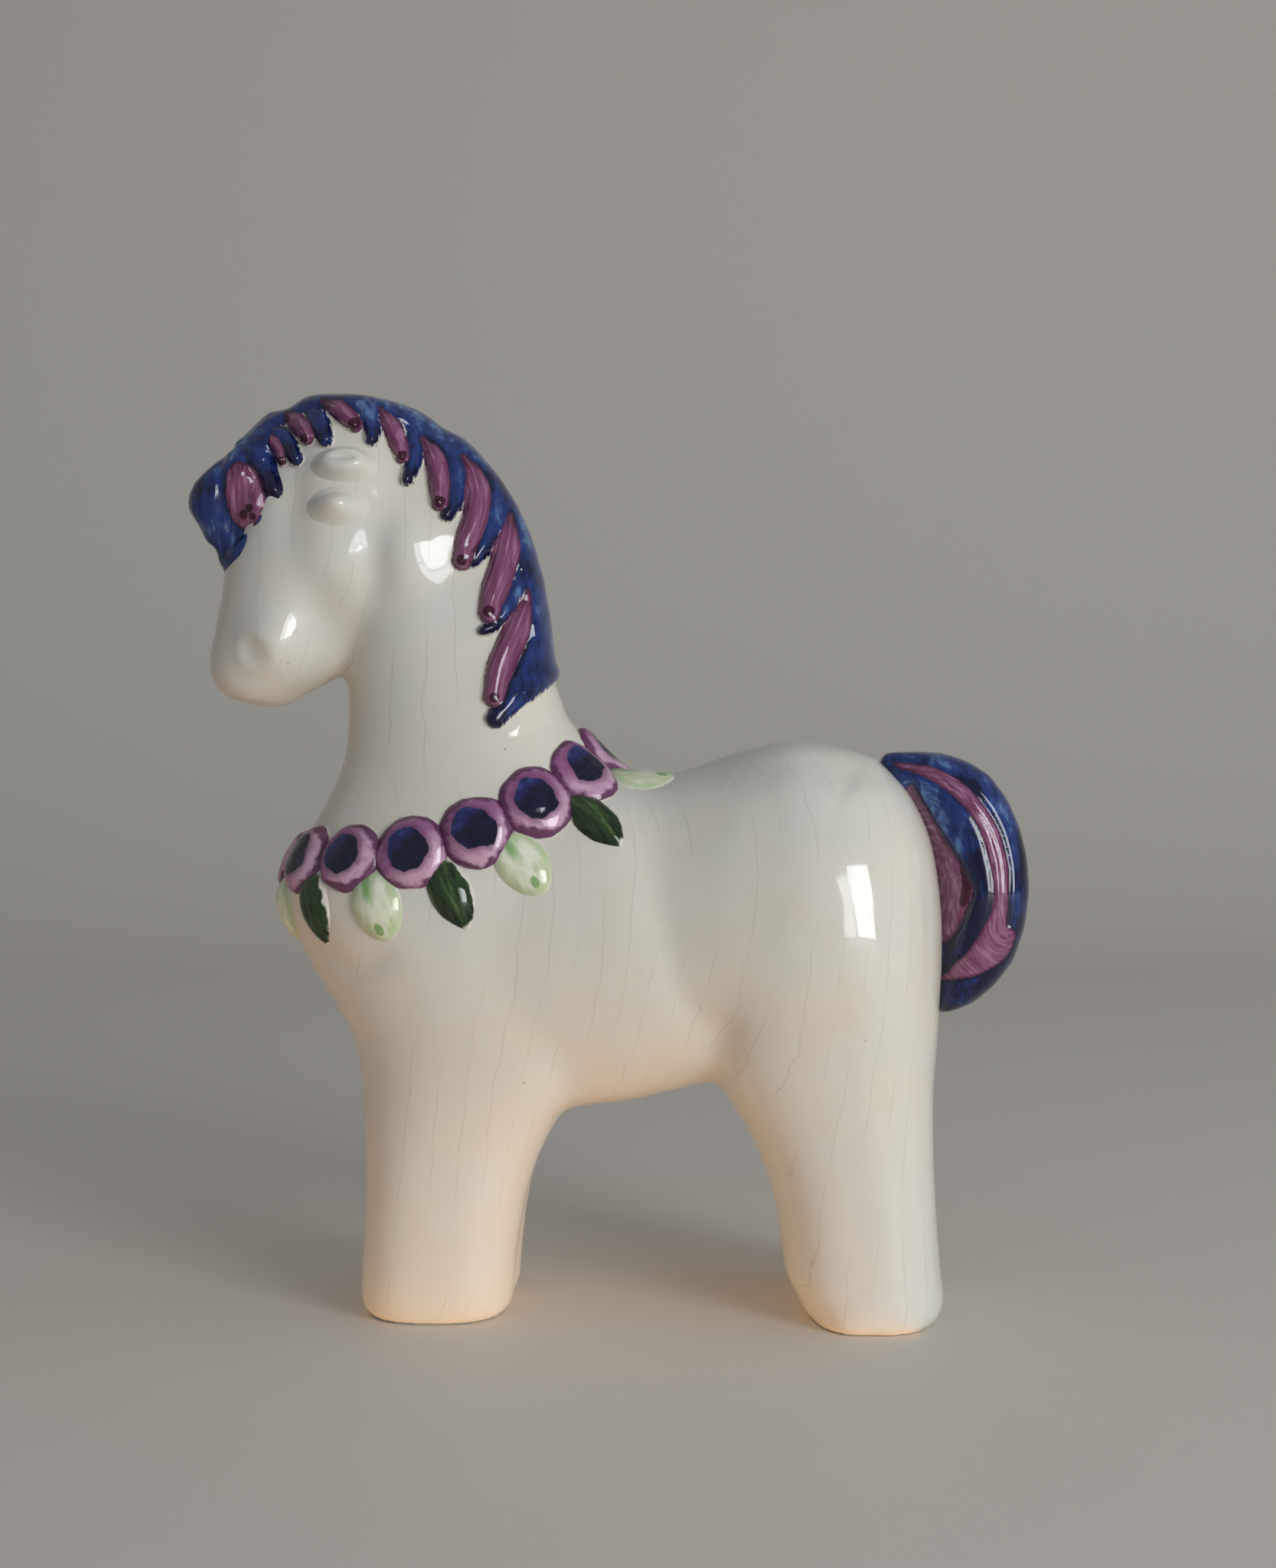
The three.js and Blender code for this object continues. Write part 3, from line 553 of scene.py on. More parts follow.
# Low swellings and hollows: x, z, radius along x, radius along z and height
SWELLINGS = [(44.5, 57.0, 6.5, 17.0, 1.1), (28.0, 58.0, 12.0, 17.0, 0.6),
             (-42.5, 135.0, 6.0, 5.5, 0.5), (-50.0, 132.5, 3.2, 8.5, -1.0),
             (-43.6, 122.6, 5.5, 6.5, 1.3), (-36.4, 122.3, 3.2, 6.0, -0.8),
             (-33.2, 123.8, 5.2, 6.0, 1.7), (-24.2, 119.4, 5.0, 7.0, -0.8),
             (-53.5, 108.8, 5.0, 5.0, 2.2), (-45.6, 113.2, 5.0, 7.0, -2.1),
             (-13.0, 108.0, 7.0, 14.0, 1.2), (-30.0, 56.0, 12.0, 12.0, 0.5),
             (-41.0, 67.0, 9.0, 7.0, 0.6)]
# Strips rubbed with the sponge once more: path, half width in mm and steps
HAUNCH_RUB = ([(20.5, 92.0), (20.0, 80.0), (18.8, 68.0), (18.6, 58.0)], 7.0, 70)
BACK_RUB = (BACK_LINE, 3.5, 16)
NAPE_RUB = ([(-9.0, 104.0), (-7.6, 100.0), (-5.4, 95.8), (-2.0, 91.6)], 5.0, 40)


def rubbed(points, faces, strip):
    """Sponges one strip again, fading out at its edges."""
    path, half, steps = strip
    away = nearest_on(points[:, [0, 2]], flowing(path))[0]
    calm = sponged(points, faces, steps, give_back=False)
    return points + (calm - points) * np.exp(-(away / half) ** 4)[:, None]


def sponged_above_soles(points, faces):
    """The soft skin with its soles still flat, and how fully the sponge worked at each point."""
    soft = sponged(points, faces, SPONGE_STEPS)
    grip = smooth_rise(points[:, 2], SOLE_TOP / 2, SPONGED_FROM)
    flat = points[:, 2] < SOLE_TOP
    soft[:, 2] = np.maximum(points[:, 2] + (soft[:, 2] - points[:, 2]) * grip, 0)
    soft[flat & (soft[:, 2] < 0.25), 2] = 0
    return soft, grip


def hand_shaped(soft, faces, grip):
    """Presses in the nostrils and adds the side forms, the swellings and the hand's shake."""
    normals = outward(soft, faces)
    shake = np.array([noise.noise(Vector(p) * 0.055) + 0.4 * noise.noise(Vector(p) * 0.15)
                      for p in soft])
    spots = soft[:, [0, 2]]
    away = np.hypot(*(spots - NOSTRIL).T) / NOSTRIL_RADIUS
    dish = NOSTRIL_LIP * bell(away - 1.25, 0.35) - NOSTRIL_DEPTH * np.clip(1 - away ** 2, 0, 1) ** 1.3
    side_on = smooth_rise(np.abs(soft[:, 1]), 4, 8)
    push = HAND_SHAKE * shake * grip + dish * side_on * (away < 2.2)
    facing = smooth_rise(np.abs(normals[:, 1]), 0.2, 0.8)
    for form, width, height in SIDE_FORMS:
        away, _, run = nearest_on(spots, flowing(form))
        ends = smooth_rise(run, 0.0, 0.35) * (1 - smooth_rise(run, 0.75, 1.0))
        push += height * bell(away, width) * ends * facing
    for x, z, wide, tall, height in SWELLINGS:
        push += facing * height * bell(spots[:, 0] - x, wide) * bell(spots[:, 1] - z, tall)
    return soft + normals * push[:, None], normals


def with_rounded_feet(points):
    """Draws in the front of the hind feet and the sides of the fore feet near the ground."""
    low = 1 - smooth_rise(points[:, 2], 0, FEET_TOP)
    toe = smooth_rise(HIND_FOOT_X - points[:, 0], 2, 12) * (points[:, 0] > HIND_LEGS_FROM_X)
    points[:, 0] += (HIND_FOOT_X - points[:, 0]) * 0.2 * low * toe
    points[:, 1] *= 1 - 0.12 * low * (toe + (points[:, 0] < 0))
    return points


def softened_skin(points, faces):
    """All the steps in turn, from the remeshed skin to the finished one."""
    soft, grip = sponged_above_soles(points, faces)
    moved, normals = hand_shaped(soft, faces, grip)
    moved = rubbed(moved, faces, HAUNCH_RUB)
    back = (normals[:, 2] > 0) & (moved[:, 2] > BACK_FROM_Z) & (moved[:, 0] > 0)
    moved[back] = drawn_to_line(moved[back], moved[back], normals[back], BACK_LINE,
                                lambda run: 0.0, (-1.5, 2.0), (0.2, 0.1))
    moved = rubbed(moved, faces, BACK_RUB)
    nape = (moved[:, 2] > NAPE_FROM_Z) & (normals[:, 0] + normals[:, 2] > 0)
    moved[nape] = drawn_to_line(
        moved[nape], moved[nape], normals[nape], NAPE_LINE,
        lambda run: -NAPE_SINK * (1 - smooth_rise(run, 0.72, 0.88)), (-4.0, 0.0), (0.1, 0.1))
    return with_rounded_feet(rubbed(moved, faces, NAPE_RUB))


skin_points = softened_skin(skin_points, skin_faces)
skin_tree = BVHTree.FromPolygons(skin_points.tolist(), skin_faces.tolist())
print("skin box in mm:", skin_points.min(0).round(1), skin_points.max(0).round(1))

# %% [markdown]
# ## The body piece and its vent
# One small hole under the belly lets hot air out in the kiln. It is drilled with a Boolean.

# %% Body piece
VENT_DEPTH = 9
body = piece_from("body_skin", skin_points, skin_faces, ivory_glaze, {})


def drill_vent(thing):
    """Cuts the vent through the belly and returns the belly's height there."""
    drill_mesh = bpy.data.meshes.new("vent drill")
    drill = bmesh.new()
    belly = skin_tree.ray_cast(Vector((VENT_X, 0, 5)), Vector((0, 0, 1)))[0].z
    bmesh.ops.create_cone(drill, cap_ends=True, segments=40, radius1=VENT_RADIUS * MM,
                          radius2=VENT_RADIUS * MM, depth=VENT_DEPTH * MM,
                          matrix=Matrix.Translation((VENT_X * MM, 0, belly * MM)))
    drill.to_mesh(drill_mesh)
    drill.free()
    tool = linked("vent drill", drill_mesh)
    cut = thing.modifiers.new("vent", "BOOLEAN")
    cut.operation, cut.object, cut.solver = "DIFFERENCE", tool, "EXACT"
    settled(thing)
    bpy.data.objects.remove(tool)
    bpy.data.meshes.remove(drill_mesh)
    return belly


vent_level = drill_vent(body)
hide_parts("body_left_half", "body_right_half")
print("vent at", round(vent_level, 1), "mm, faces:", len(body.data.polygons))

# %% [markdown]
# ## One soft form under the hair
# The forelock and the mane were laid on while the clay was soft, and sponged until they flowed into
# the head. Cutting each from a hard solid would leave corners. So the body's skin and the packed
# forelock are remeshed together into one soft form, and each hair piece is a sheet cut out of that
# form, made finer and lifted by its own thickness.

# %% Hair form and sheets
FORM_VOXEL = 1.15
FORM_STEPS = 11
POLL_RUB = ([(-60.5, 142.5), (-57.0, 145.5), (-53.5, 147.2), (-50.0, 148.4), (-46.0, 149.0)], 4.5, 25)
SHEET_FLOOR = 1.6
SHEET_REACH = 1.1
PULL_LIMITS = (-6.0, 3.5)
PULL_FADES = (0.03, 0.04)
# Lifting a sheet moves it under its drawing, so the drawing is read again on the lifted sheet.
DRAWING_PASSES = 3


def make_hair_form():
    """The body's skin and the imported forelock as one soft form."""
    clay = joined_copy(["forelock"])
    verts = [clay.verts.new(p * MM) for p in skin_points]
    for face in skin_faces:
        clay.faces.new([verts[k] for k in face])
    points, faces = remeshed("hair form", clay, FORM_VOXEL)
    return rubbed(sponged(points, faces, FORM_STEPS), faces, POLL_RUB), faces


def cut_sheet(keep):
    """The kept part of the hair form after two Catmull-Clark steps."""
    faces = form_faces[keep[form_faces].all(axis=1)]
    used, order = np.unique(faces, return_inverse=True)
    mesh = bpy.data.meshes.new("sheet")
    mesh.from_pydata(form_points[used].tolist(), [], order.reshape(faces.shape).tolist())
    return modified("sheet", mesh, "SUBSURF", levels=2)


def closed_sheet(top, bottom, faces):
    """A closed solid between two layers of the same faces."""
    count = len(top)
    ahead = {(face[k], face[(k + 1) % 4]) for face in faces.tolist() for k in range(4)}
    rim = [(a, b) for a, b in ahead if (b, a) not in ahead]
    walls = [(b, a, a + count, b + count) for a, b in sorted(rim)]
    return (np.vstack([top, bottom]),
            faces.tolist() + (faces[:, ::-1] + count).tolist() + walls)


def grown_sheet(keep, layers, lift, floor=SHEET_FLOOR):
    """Cuts a sheet from the hair form and lifts it by the thickness that its drawing gives."""
    points, faces = cut_sheet(keep)
    normals = outward(points, faces)
    top = points
    for _ in range(DRAWING_PASSES):
        thick, fields = layers(top, normals)
        rise = normals * thick[:, None]
        foot = drawn_to_line(points, points + rise, normals, HAIR_LINE, lift, PULL_LIMITS,
                             PULL_FADES)
        top = foot + rise
    top = sponged(top, faces, 3, give_back=False)
    verts, faces = closed_sheet(top, foot - normals * floor, faces)
    return verts, faces, {key: np.r_[values, values] for key, values in fields.items()}


form_points, form_faces = make_hair_form()
print("hair form points:", len(form_points))

# %% [markdown]
# ## The mane's lobes
# The mane is a band over the crest with slanting lobes below it, plum and blue in turn. A plum lobe
# is a narrow roll that starts as a point near the crest and ends in a dark round dab. A blue lobe
# lies beside it and ends in ragged brush marks. Each is a path from root to tip with its half width
# in millimetres.

# %% Mane drawing
PLUM_LOBES = [
    ([(-54.9, 143.0), (-53.2, 140.9), (-52.5, 139.6), (-52.0, 138.2)], 1.05),
    ([(-52.1, 146.7), (-50.2, 144.9), (-48.6, 143.3), (-47.7, 141.9)], 1.65),
    ([(-45.6, 147.9), (-43.2, 146.6), (-41.4, 145.2), (-40.0, 143.8)], 1.6),
    ([(-36.3, 146.8), (-34.6, 144.0), (-33.3, 141.0), (-32.6, 138.8)], 1.55),
    ([(-29.6, 142.2), (-28.1, 139.8), (-26.9, 135.9), (-26.5, 131.4)], 1.85),
    ([(-23.2, 139.4), (-21.5, 136.8), (-20.7, 133.4), (-21.1, 129.0), (-22.3, 125.0), (-22.9, 122.2)],
     2.1),
    ([(-15.6, 129.9), (-15.7, 126.2), (-16.8, 120.8), (-18.2, 116.0), (-18.5, 113.8)], 2.3),
    ([(-12.6, 117.4), (-13.3, 113.8), (-15.0, 109.4), (-16.7, 105.0), (-17.6, 100.4)], 2.25),
]
BLUE_LOBES = [
    ([(-55.4, 144.4), (-52.5, 142.6), (-50.8, 140.3), (-49.7, 138.6)], 1.8),
    ([(-48.2, 147.3), (-46.2, 144.7), (-45.3, 143.0), (-44.7, 141.6)], 1.9),
    ([(-39.9, 147.3), (-37.9, 145.0), (-37.3, 143.0), (-37.3, 141.4)], 1.45),
    ([(-32.6, 144.5), (-30.9, 141.6), (-30.8, 138.6), (-31.7, 135.0)], 1.45),
    ([(-25.8, 140.3), (-24.0, 136.1), (-24.0, 132.2), (-25.4, 129.4)], 1.5),
    ([(-17.9, 134.8), (-18.0, 129.8), (-19.3, 125.4), (-21.2, 122.6)], 2.05),
    ([(-13.0, 123.1), (-14.0, 118.9), (-15.9, 114.3), (-17.8, 111.8), (-19.4, 110.9)], 1.3),
    ([(-10.5, 112.9), (-11.6, 106.6), (-13.6, 101.6), (-16.0, 98.6), (-17.2, 97.0)], 2.3),
]
MANE_INNER = [(-60.5, 140.2), (-56.9, 141.6), (-54.0, 143.6), (-50.7, 145.3), (-47.4, 146.3),
              (-44.7, 146.4), (-41.5, 145.9), (-38.5, 145.0), (-35.5, 144.3), (-32.6, 143.2),
              (-30.3, 140.6), (-27.2, 138.0), (-24.4, 135.2), (-21.9, 131.9), (-18.8, 127.9),
              (-16.8, 123.9), (-15.0, 120.3), (-14.0, 116.5), (-13.2, 112.8), (-12.9, 108.6),
              (-13.2, 104.6), (-14.0, 101.0), (-15.0, 98.2), (-12.0, 99.4), (-9.9, 101.4),
              (-8.2, 103.0), (-5.0, 104.0)]
MANE_OUTER = [(2.0, 106.0), (-4.0, 140.0), (-20.0, 156.0), (-48.0, 160.0), (-64.0, 152.0),
              (-62.5, 141.5)]
MANE_DABS = [(-52.0, 138.3, 0.65), (-48.3, 141.6, 0.85), (-40.1, 143.9, 0.95), (-32.6, 138.9, 0.8),
             (-26.5, 131.5, 0.95), (-22.8, 122.2, 0.85), (-18.5, 114.0, 0.95), (-17.4, 100.2, 0.8)]
FAR_OUTSIDE = -99.0


def lobe_width(run, half):
    """A lobe starts as a point, swells by its middle and stays full to its round tip."""
    return half * (0.15 + 0.85 * smooth_rise(run, -0.08, 0.42)) * (1 - 0.2 * smooth_rise(run, 0.72, 1))


def measured_lobes(spots, lobes):
    """For each spot: every lobe's dome, and the depth, run and place across of the nearest."""
    domes = []
    depth = np.full(len(spots), FAR_OUTSIDE)
    run, across = np.zeros(len(spots)), np.zeros(len(spots))
    for path, half in lobes:
        away, side, along = nearest_on(spots, flowing(path))
        width = lobe_width(along, half)
        share = away / np.maximum(width, 0.2)
        dome = np.clip(1 - share ** 2.2, 0, 1) ** 0.72
        domes.append(np.where(share < 1, dome * np.minimum(width / half + 0.25, 1),
                              -0.9 * (away - width)))
        inside = width - away
        nearer = inside > depth
        depth[nearer], run[nearer] = inside[nearer], along[nearer]
        across[nearer] = (side * away)[nearer]
    return np.array(domes), depth, run, across


def dab_depth(spots, dabs):
    """Positive inside a dab: each is x, z and radius in mm."""
    return np.max([size - np.hypot(spots[:, 0] - x, spots[:, 1] - z) for x, z, size in dabs], axis=0)


print("lobes:", len(PLUM_LOBES), "plum and", len(BLUE_LOBES), "blue")

# %% [markdown]
# ## The mane as one sheet
# The mane's thickness is the highest of its band and lobes, softly joined. On the sides each lobe
# swells a little more, and a fine groove runs round every plum one. The paint reads the same
# depths, runs and distances across.

# %% Mane sheet
MANE_THICK = 1.7
LOBE_THICK = 1.5
PLUM_RISE = 0.5
BLUE_RISE = 0.3
GROOVE = 0.34
JOIN_SHARPNESS = 7.0
# The crest stands this far outside the hair's outline
MANE_LIFT = 0.12
# The mane lies above this height and in front of this x
MANE_FROM_Z, MANE_TO_X = 92, 4
# Blue lobes carry their run with this much added, so that the paint can tell them apart
BLUE_RUN = 3


def softly_highest(layers):
    """The highest layer at each point, rounded where two meet."""
    top = layers.max(axis=0)
    return top + np.log(np.exp(JOIN_SHARPNESS * (layers - top)).sum(axis=0)) / JOIN_SHARPNESS


def lobed(domes):
    """Domes in mm of thickness; outside a lobe the distance to it stays as it is."""
    return np.where(domes > 0, domes * LOBE_THICK, domes)


def mane_layers(points, normals):
    """The mane's thickness at each point, and what its paint reads."""
    spots = points[:, [0, 2]]
    plum_domes, plum, run, across = measured_lobes(spots, PLUM_LOBES)
    blue_domes, blue, blue_run, blue_across = measured_lobes(spots, BLUE_LOBES)
    band = depth_inside(spots, np.vstack([flowing(MANE_INNER), MANE_OUTER]))
    band_layer = np.where(band > 0, MANE_THICK * smooth_rise(band, -0.6, 1.9) ** 0.8, 0.9 * band)
    thick = softly_highest(np.vstack([lobed(plum_domes), lobed(blue_domes), band_layer]))
    side_on = smooth_rise(np.abs(normals[:, 1]), 0.3, 0.85)
    roll = (PLUM_RISE * np.clip(plum_domes.max(0), 0, 1) * smooth_rise(run, 0.0, 0.45)
            + BLUE_RISE * np.clip(blue_domes.max(0), 0, 1) * smooth_rise(blue_run, 0.1, 0.6))
    groove = GROOVE * bell(plum, GROOVE) * smooth_rise(thick, 0.6, 1.4)
    beside = blue > plum
    return thick + (roll - groove) * side_on, {
        "plum": plum, "run": np.where(beside, blue_run + BLUE_RUN, run),
        "across": np.where(beside, blue_across, across),
        "edge": np.max([plum, blue, band], axis=0), "dab": dab_depth(spots, MANE_DABS)}


def mane_reach(points):
    """Which points the mane's drawing reaches."""
    keep = (points[:, 2] > MANE_FROM_Z) & (points[:, 0] < MANE_TO_X)
    edge = mane_layers(points[keep], np.zeros((keep.sum(), 3)))[1]["edge"]
    keep[keep] = edge > -SHEET_REACH
    return keep


mane_points, mane_faces, mane_fields = grown_sheet(
    mane_reach(form_points), mane_layers, lambda run: MANE_LIFT)
print("mane points:", len(mane_points))

# %% [markdown]
# ## Blue and plum under the glaze
# The colours are stains brushed on the clay, so they are thin and streaky: pale where the brush
# was dry, deep where it pooled in a groove or at the end of a stroke. Each stain is one mix of a
# washed, a middle and a deep colour, driven by noise that is stretched along the lock. The brush
# stopped a little short of the clay's edge, so the ivory shows there with a ragged border.

# %% Hair paint
BLUE = [paint(84, 116, 160), paint(28, 48, 106), paint(8, 15, 48)]
PLUM = [paint(158, 112, 142), paint(112, 60, 92), paint(66, 22, 50)]
DAB = paint(58, 10, 36)


def stain(shop, amount, tones):
    """A stain from washed (0) through middle (0.5) to deep (1)."""
    washed, middle, deep = tones
    thin = shop.blend(amount.step(0.0, 0.5), washed, middle)
    return shop.blend(amount.step(0.5, 1.0), thin, deep)


def make_hair():
    shop = GlazeShop("hair_glaze")
    where = shop.place()
    ivory, height = ivory_body(shop, where)
    plum, run, across, rim, dab = shop.read("plum", "run", "across", "edge", "dab")
    strokes = shop.cloud(shop.vector(run * 2.2, across * 2.0, plum * 0.2), 1.0, 4.0, 0.65)
    brushed = shop.cloud(shop.scaled(where, (0.9, 0.4, 0.35)), 0.62, 4.0, 0.62, 0.5)
    patchy = shop.cloud(where, 0.16, 2.0, 0.5)
    pooled = 1 - abs(plum).step(0.0, 0.9)
    blue_amount = 0.5 + (brushed - 0.5) * 1.5 + (patchy - 0.5) * 1.4 + (strokes - 0.5) * 0.8
    tips = run.step(BLUE_RUN + 0.55, BLUE_RUN + 0.95)
    blue = stain(shop, blue_amount + pooled * 0.3 + tips * 0.4, BLUE)
    plum_amount = (0.36 + (strokes - 0.5) * 1.9 + (1 - run.step(0.0, 0.3)) * 0.3
                   + (1 - plum.step(0.05, 0.6)) * 0.45)
    plum_colour = stain(shop, plum_amount, PLUM)
    plum_colour = shop.blend((dab + (strokes - 0.5) * 0.25).step(-0.08, 0.08), plum_colour, DAB)
    edge = plum + (shop.cloud(where, 1.1, 2.0) - 0.5) * 0.3
    colour = shop.blend(edge.step(-0.06, 0.06), blue, plum_colour)
    dry = shop.cloud(shop.scaled(where, (1.6, 1.0, 0.45)), 1.3, 3.0, 0.7)
    covered = (rim + (dry - 0.5) * 1.4).step(0.05, 0.25).most(edge.step(-0.05, 0.05))
    return glazed(shop, shop.blend(covered, ivory, colour), height)


hair_glaze = make_hair()
mane = piece_from("mane_band", mane_points, mane_faces, hair_glaze, mane_fields)
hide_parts("mane")
print("mane faces:", len(mane.data.polygons))

# %% [markdown]
# ## The forelock
# The forelock rolls forward over the brow as one lump, and spreads back over the cheek side as a
# plum patch and a blue lobe. The lump is already in the hair form, so its sheet only needs a little
# thickness on the sides and a groove down its front. Dark dabs mark the patch near its lower end.

# %% Forelock piece
PATCH = [(-59.5, 138.1), (-57.6, 137.8), (-56.0, 136.5), (-55.2, 134.2), (-54.7, 131.9),
         (-55.2, 129.9), (-56.4, 128.2), (-58.4, 127.6), (-60.0, 128.6), (-60.8, 130.7),
         (-61.0, 133.6), (-60.7, 136.5)]
REAR_LOBE = [([(-58.4, 140.6), (-56.0, 138.6), (-54.0, 135.6), (-53.2, 133.4)], 1.9)]
FORELOCK_REAR = [(-52.6, 146.0), (-53.0, 139.0), (-51.8, 134.0), (-52.3, 132.2), (-53.8, 132.6),
                 (-54.6, 131.7), (-55.3, 128.9), (-56.4, 127.8), (-57.6, 127.2), (-58.0, 125.2),
                 (-59.2, 123.2), (-61.5, 121.6)]
FORELOCK_FRONT = [(-70.0, 118.0), (-78.0, 130.0), (-74.0, 150.0), (-60.0, 154.0)]
FORELOCK_DABS = [(-58.4, 129.8, 0.75), (-57.3, 130.8, 0.7), (-56.8, 129.4, 0.6)]
FORELOCK_GROOVE = [(-61.8, 139.0), (-62.0, 134.4), (-61.6, 129.6), (-60.2, 126.0)]
FORELOCK_OUTLINE = np.vstack([flowing(FORELOCK_REAR), FORELOCK_FRONT])
FORELOCK_THICK = 1.25
FORELOCK_FLOOR = 2.4
# The patch's strokes run down from this height over this length, on both sides of this x
PATCH_TOP, PATCH_LENGTH, PATCH_MIDDLE = 138.0, 10, -58
# How far the forelock's back end lies under the mane
FORELOCK_TUCK = 0.5


def forelock_layers(points, normals):
    """The forelock's thickness at each point, and what its paint reads."""
    spots = points[:, [0, 2]]
    plum = depth_inside(spots, flowing(PATCH, closed=True))
    rear_dome, rear, rear_run, rear_across = measured_lobes(spots, REAR_LOBE)
    whole = depth_inside(spots, FORELOCK_OUTLINE)
    side_on = smooth_rise(np.abs(normals[:, 1]), 0.1, 0.75)
    sheet = np.where(whole > 0, FORELOCK_THICK * smooth_rise(whole, -0.5, 2.0), 0.9 * whole)
    away = nearest_on(spots, flowing(FORELOCK_GROOVE))[0]
    lumps = 0.6 * smooth_rise(plum, -0.2, 2.2) + 0.5 * np.clip(rear_dome[0], 0, 1)
    grooves = 0.45 * bell(away, 0.6) + 0.35 * bell(rear, 0.4)
    thick = np.where(whole > 0, (sheet + (lumps - grooves) * smooth_rise(whole, 0, 1.2))
                     * (0.12 + 0.88 * side_on), sheet)
    beside = rear > plum
    return thick, {
        "plum": plum,
        "run": np.where(beside, rear_run + BLUE_RUN, (PATCH_TOP - spots[:, 1]) / PATCH_LENGTH),
        "across": np.where(beside, rear_across, spots[:, 0] - PATCH_MIDDLE),
        "edge": whole * 2 + 0.3, "dab": dab_depth(spots, FORELOCK_DABS)}


forelock_points, forelock_faces, forelock_fields = grown_sheet(
    depth_inside(form_points[:, [0, 2]], FORELOCK_OUTLINE) > -SHEET_REACH, forelock_layers,
    lambda run: -FORELOCK_TUCK * smooth_rise(run, 0.2, 0.27), FORELOCK_FLOOR)
forelock = piece_from("forelock_roll", forelock_points, forelock_faces, hair_glaze,
                      forelock_fields)
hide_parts("forelock")
print("forelock points:", len(forelock_points))

# %% [markdown]
# ## The tail
# The tail is one thick curl pressed against the rump. Long grooves follow its bend and part it into
# an outer blue band, a plum band that sweeps down and in at the bottom, a blue crescent with one
# raised ridge, and a plum wedge against the rump. The bands are closed outlines made from the same
# three grooves, so paint and relief share them. Its foot is pressed into the skin, so no gap shows.

# %% Tail
TAIL_OUTER = [(46.6, 90.3), (52.7, 89.5), (57.1, 87.3), (60.9, 83.4), (63.7, 78.7), (65.1, 73.2),
              (65.2, 68.3), (65.0, 63.4)]
TAIL_INNER = [(46.8, 89.2), (51.4, 87.6), (55.0, 85.2), (58.2, 82.2), (60.2, 79.0), (61.6, 74.5),
              (62.4, 70.4), (62.2, 66.4), (60.4, 62.7), (58.2, 59.2), (56.2, 57.2)]
TAIL_SWEEP = [(66.4, 62.2), (65.6, 59.4), (63.6, 57.3), (59.2, 55.2), (54.6, 54.5)]
TAIL_WEDGE = [(49.4, 86.2), (52.8, 80.6), (55.8, 75.4), (57.8, 72.2), (59.0, 69.8), (58.8, 68.0),
              (57.9, 65.6), (56.4, 62.6), (55.0, 60.4)]
TAIL_RUMP = [(52.4, 60.2), (51.0, 66.0), (50.6, 76.0), (47.6, 84.6)]
TAIL_RIDGE = [(50.8, 85.8), (53.6, 80.6), (56.2, 76.8), (58.0, 73.8), (59.2, 70.6)]
TAIL_CREASE = [(57.6, 84.2), (61.4, 79.8), (63.4, 74.2), (63.8, 68.0), (63.2, 62.4)]
TAIL_PATCH = [(57.0, 73.0), (58.6, 70.6), (58.8, 68.6), (57.8, 66.6), (57.0, 67.2), (57.4, 70.4)]
TAIL_VOXEL = 0.45
TAIL_STEPS = 40
TAIL_SINK = 0.9
TAIL_REACH = 1.2
# The lines that shape the tail: path, height and width in mm
TAIL_RELIEF = [(TAIL_OUTER, -0.55, 0.55), (TAIL_INNER, -0.3, 0.5), (TAIL_WEDGE, -0.4, 0.5),
               (TAIL_RIDGE, 0.35, 0.45), (TAIL_CREASE, -0.2, 0.35)]


def bedded(points):
    """Presses a foot into the skin, and gives each point's height over it."""
    rise, under = np.empty(len(points)), np.empty_like(points)
    for k, point in enumerate(points):
        spot, normal, _, away = skin_tree.find_nearest(Vector(point))
        rise[k] = away if (Vector(point) - spot).dot(normal) > 0 else -away
        under[k] = normal
    press = TAIL_SINK * (1 - smooth_rise(rise, 0, TAIL_REACH))
    return points - under * press[:, None], rise - press


def make_tail():
    """The softened and grooved tail, and what its paint reads."""
    points, faces = remeshed("tail", joined_copy(["tail"]), TAIL_VOXEL)
    points = sponged(points, faces, TAIL_STEPS)
    normals = outward(points, faces)
    spots = points[:, [0, 2]]
    outer = flowing(TAIL_OUTER)
    band = np.vstack([outer, flowing(TAIL_SWEEP), flowing(TAIL_INNER)[::-1]])
    wedge = np.vstack([flowing(TAIL_WEDGE), flowing(TAIL_RUMP)])
    depth = np.maximum(depth_inside(spots, band), depth_inside(spots, wedge))
    patch = depth_inside(spots, flowing(TAIL_PATCH, closed=True))
    away, side, run = nearest_on(spots, outer)
    side_on = smooth_rise(np.abs(normals[:, 1]), 0.15, 0.5)
    relief = sum(height * bell(nearest_on(spots, flowing(path))[0], width)
                 for path, height, width in TAIL_RELIEF)
    points = points + normals * (relief * side_on)[:, None]
    points, rise = bedded(points)
    return points, faces, {"plum": depth, "run": run * 6, "across": side * away,
                           "dab": patch, "edge": rise + 0.5}


tail_points, tail_faces, tail_fields = make_tail()
tail = piece_from("tail_curl", tail_points, tail_faces, hair_glaze, tail_fields)
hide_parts("tail")
print("tail points:", len(tail_points))

# %% [markdown]
# ## Pressed-on clay
# Ears, eyelids, flowers and leaves are small pads of clay pressed on the curved skin. They follow
# one rule: a pad's outline is laid on a seat, its points drop on the skin below, and then rise by
# the pad's own relief. That is a job for Geometry Nodes. The seats are single points that carry a
# direction, a length, a width and a seed. The tree puts a blank on each seat, makes it a real mesh,
# casts every point onto the skin and lifts it.

# %% Geometry Nodes: pads pressed on the skin
RAY_START, RAY_LENGTH = 8 * MM, 20 * MM
SWAY_SCALE = 260.0


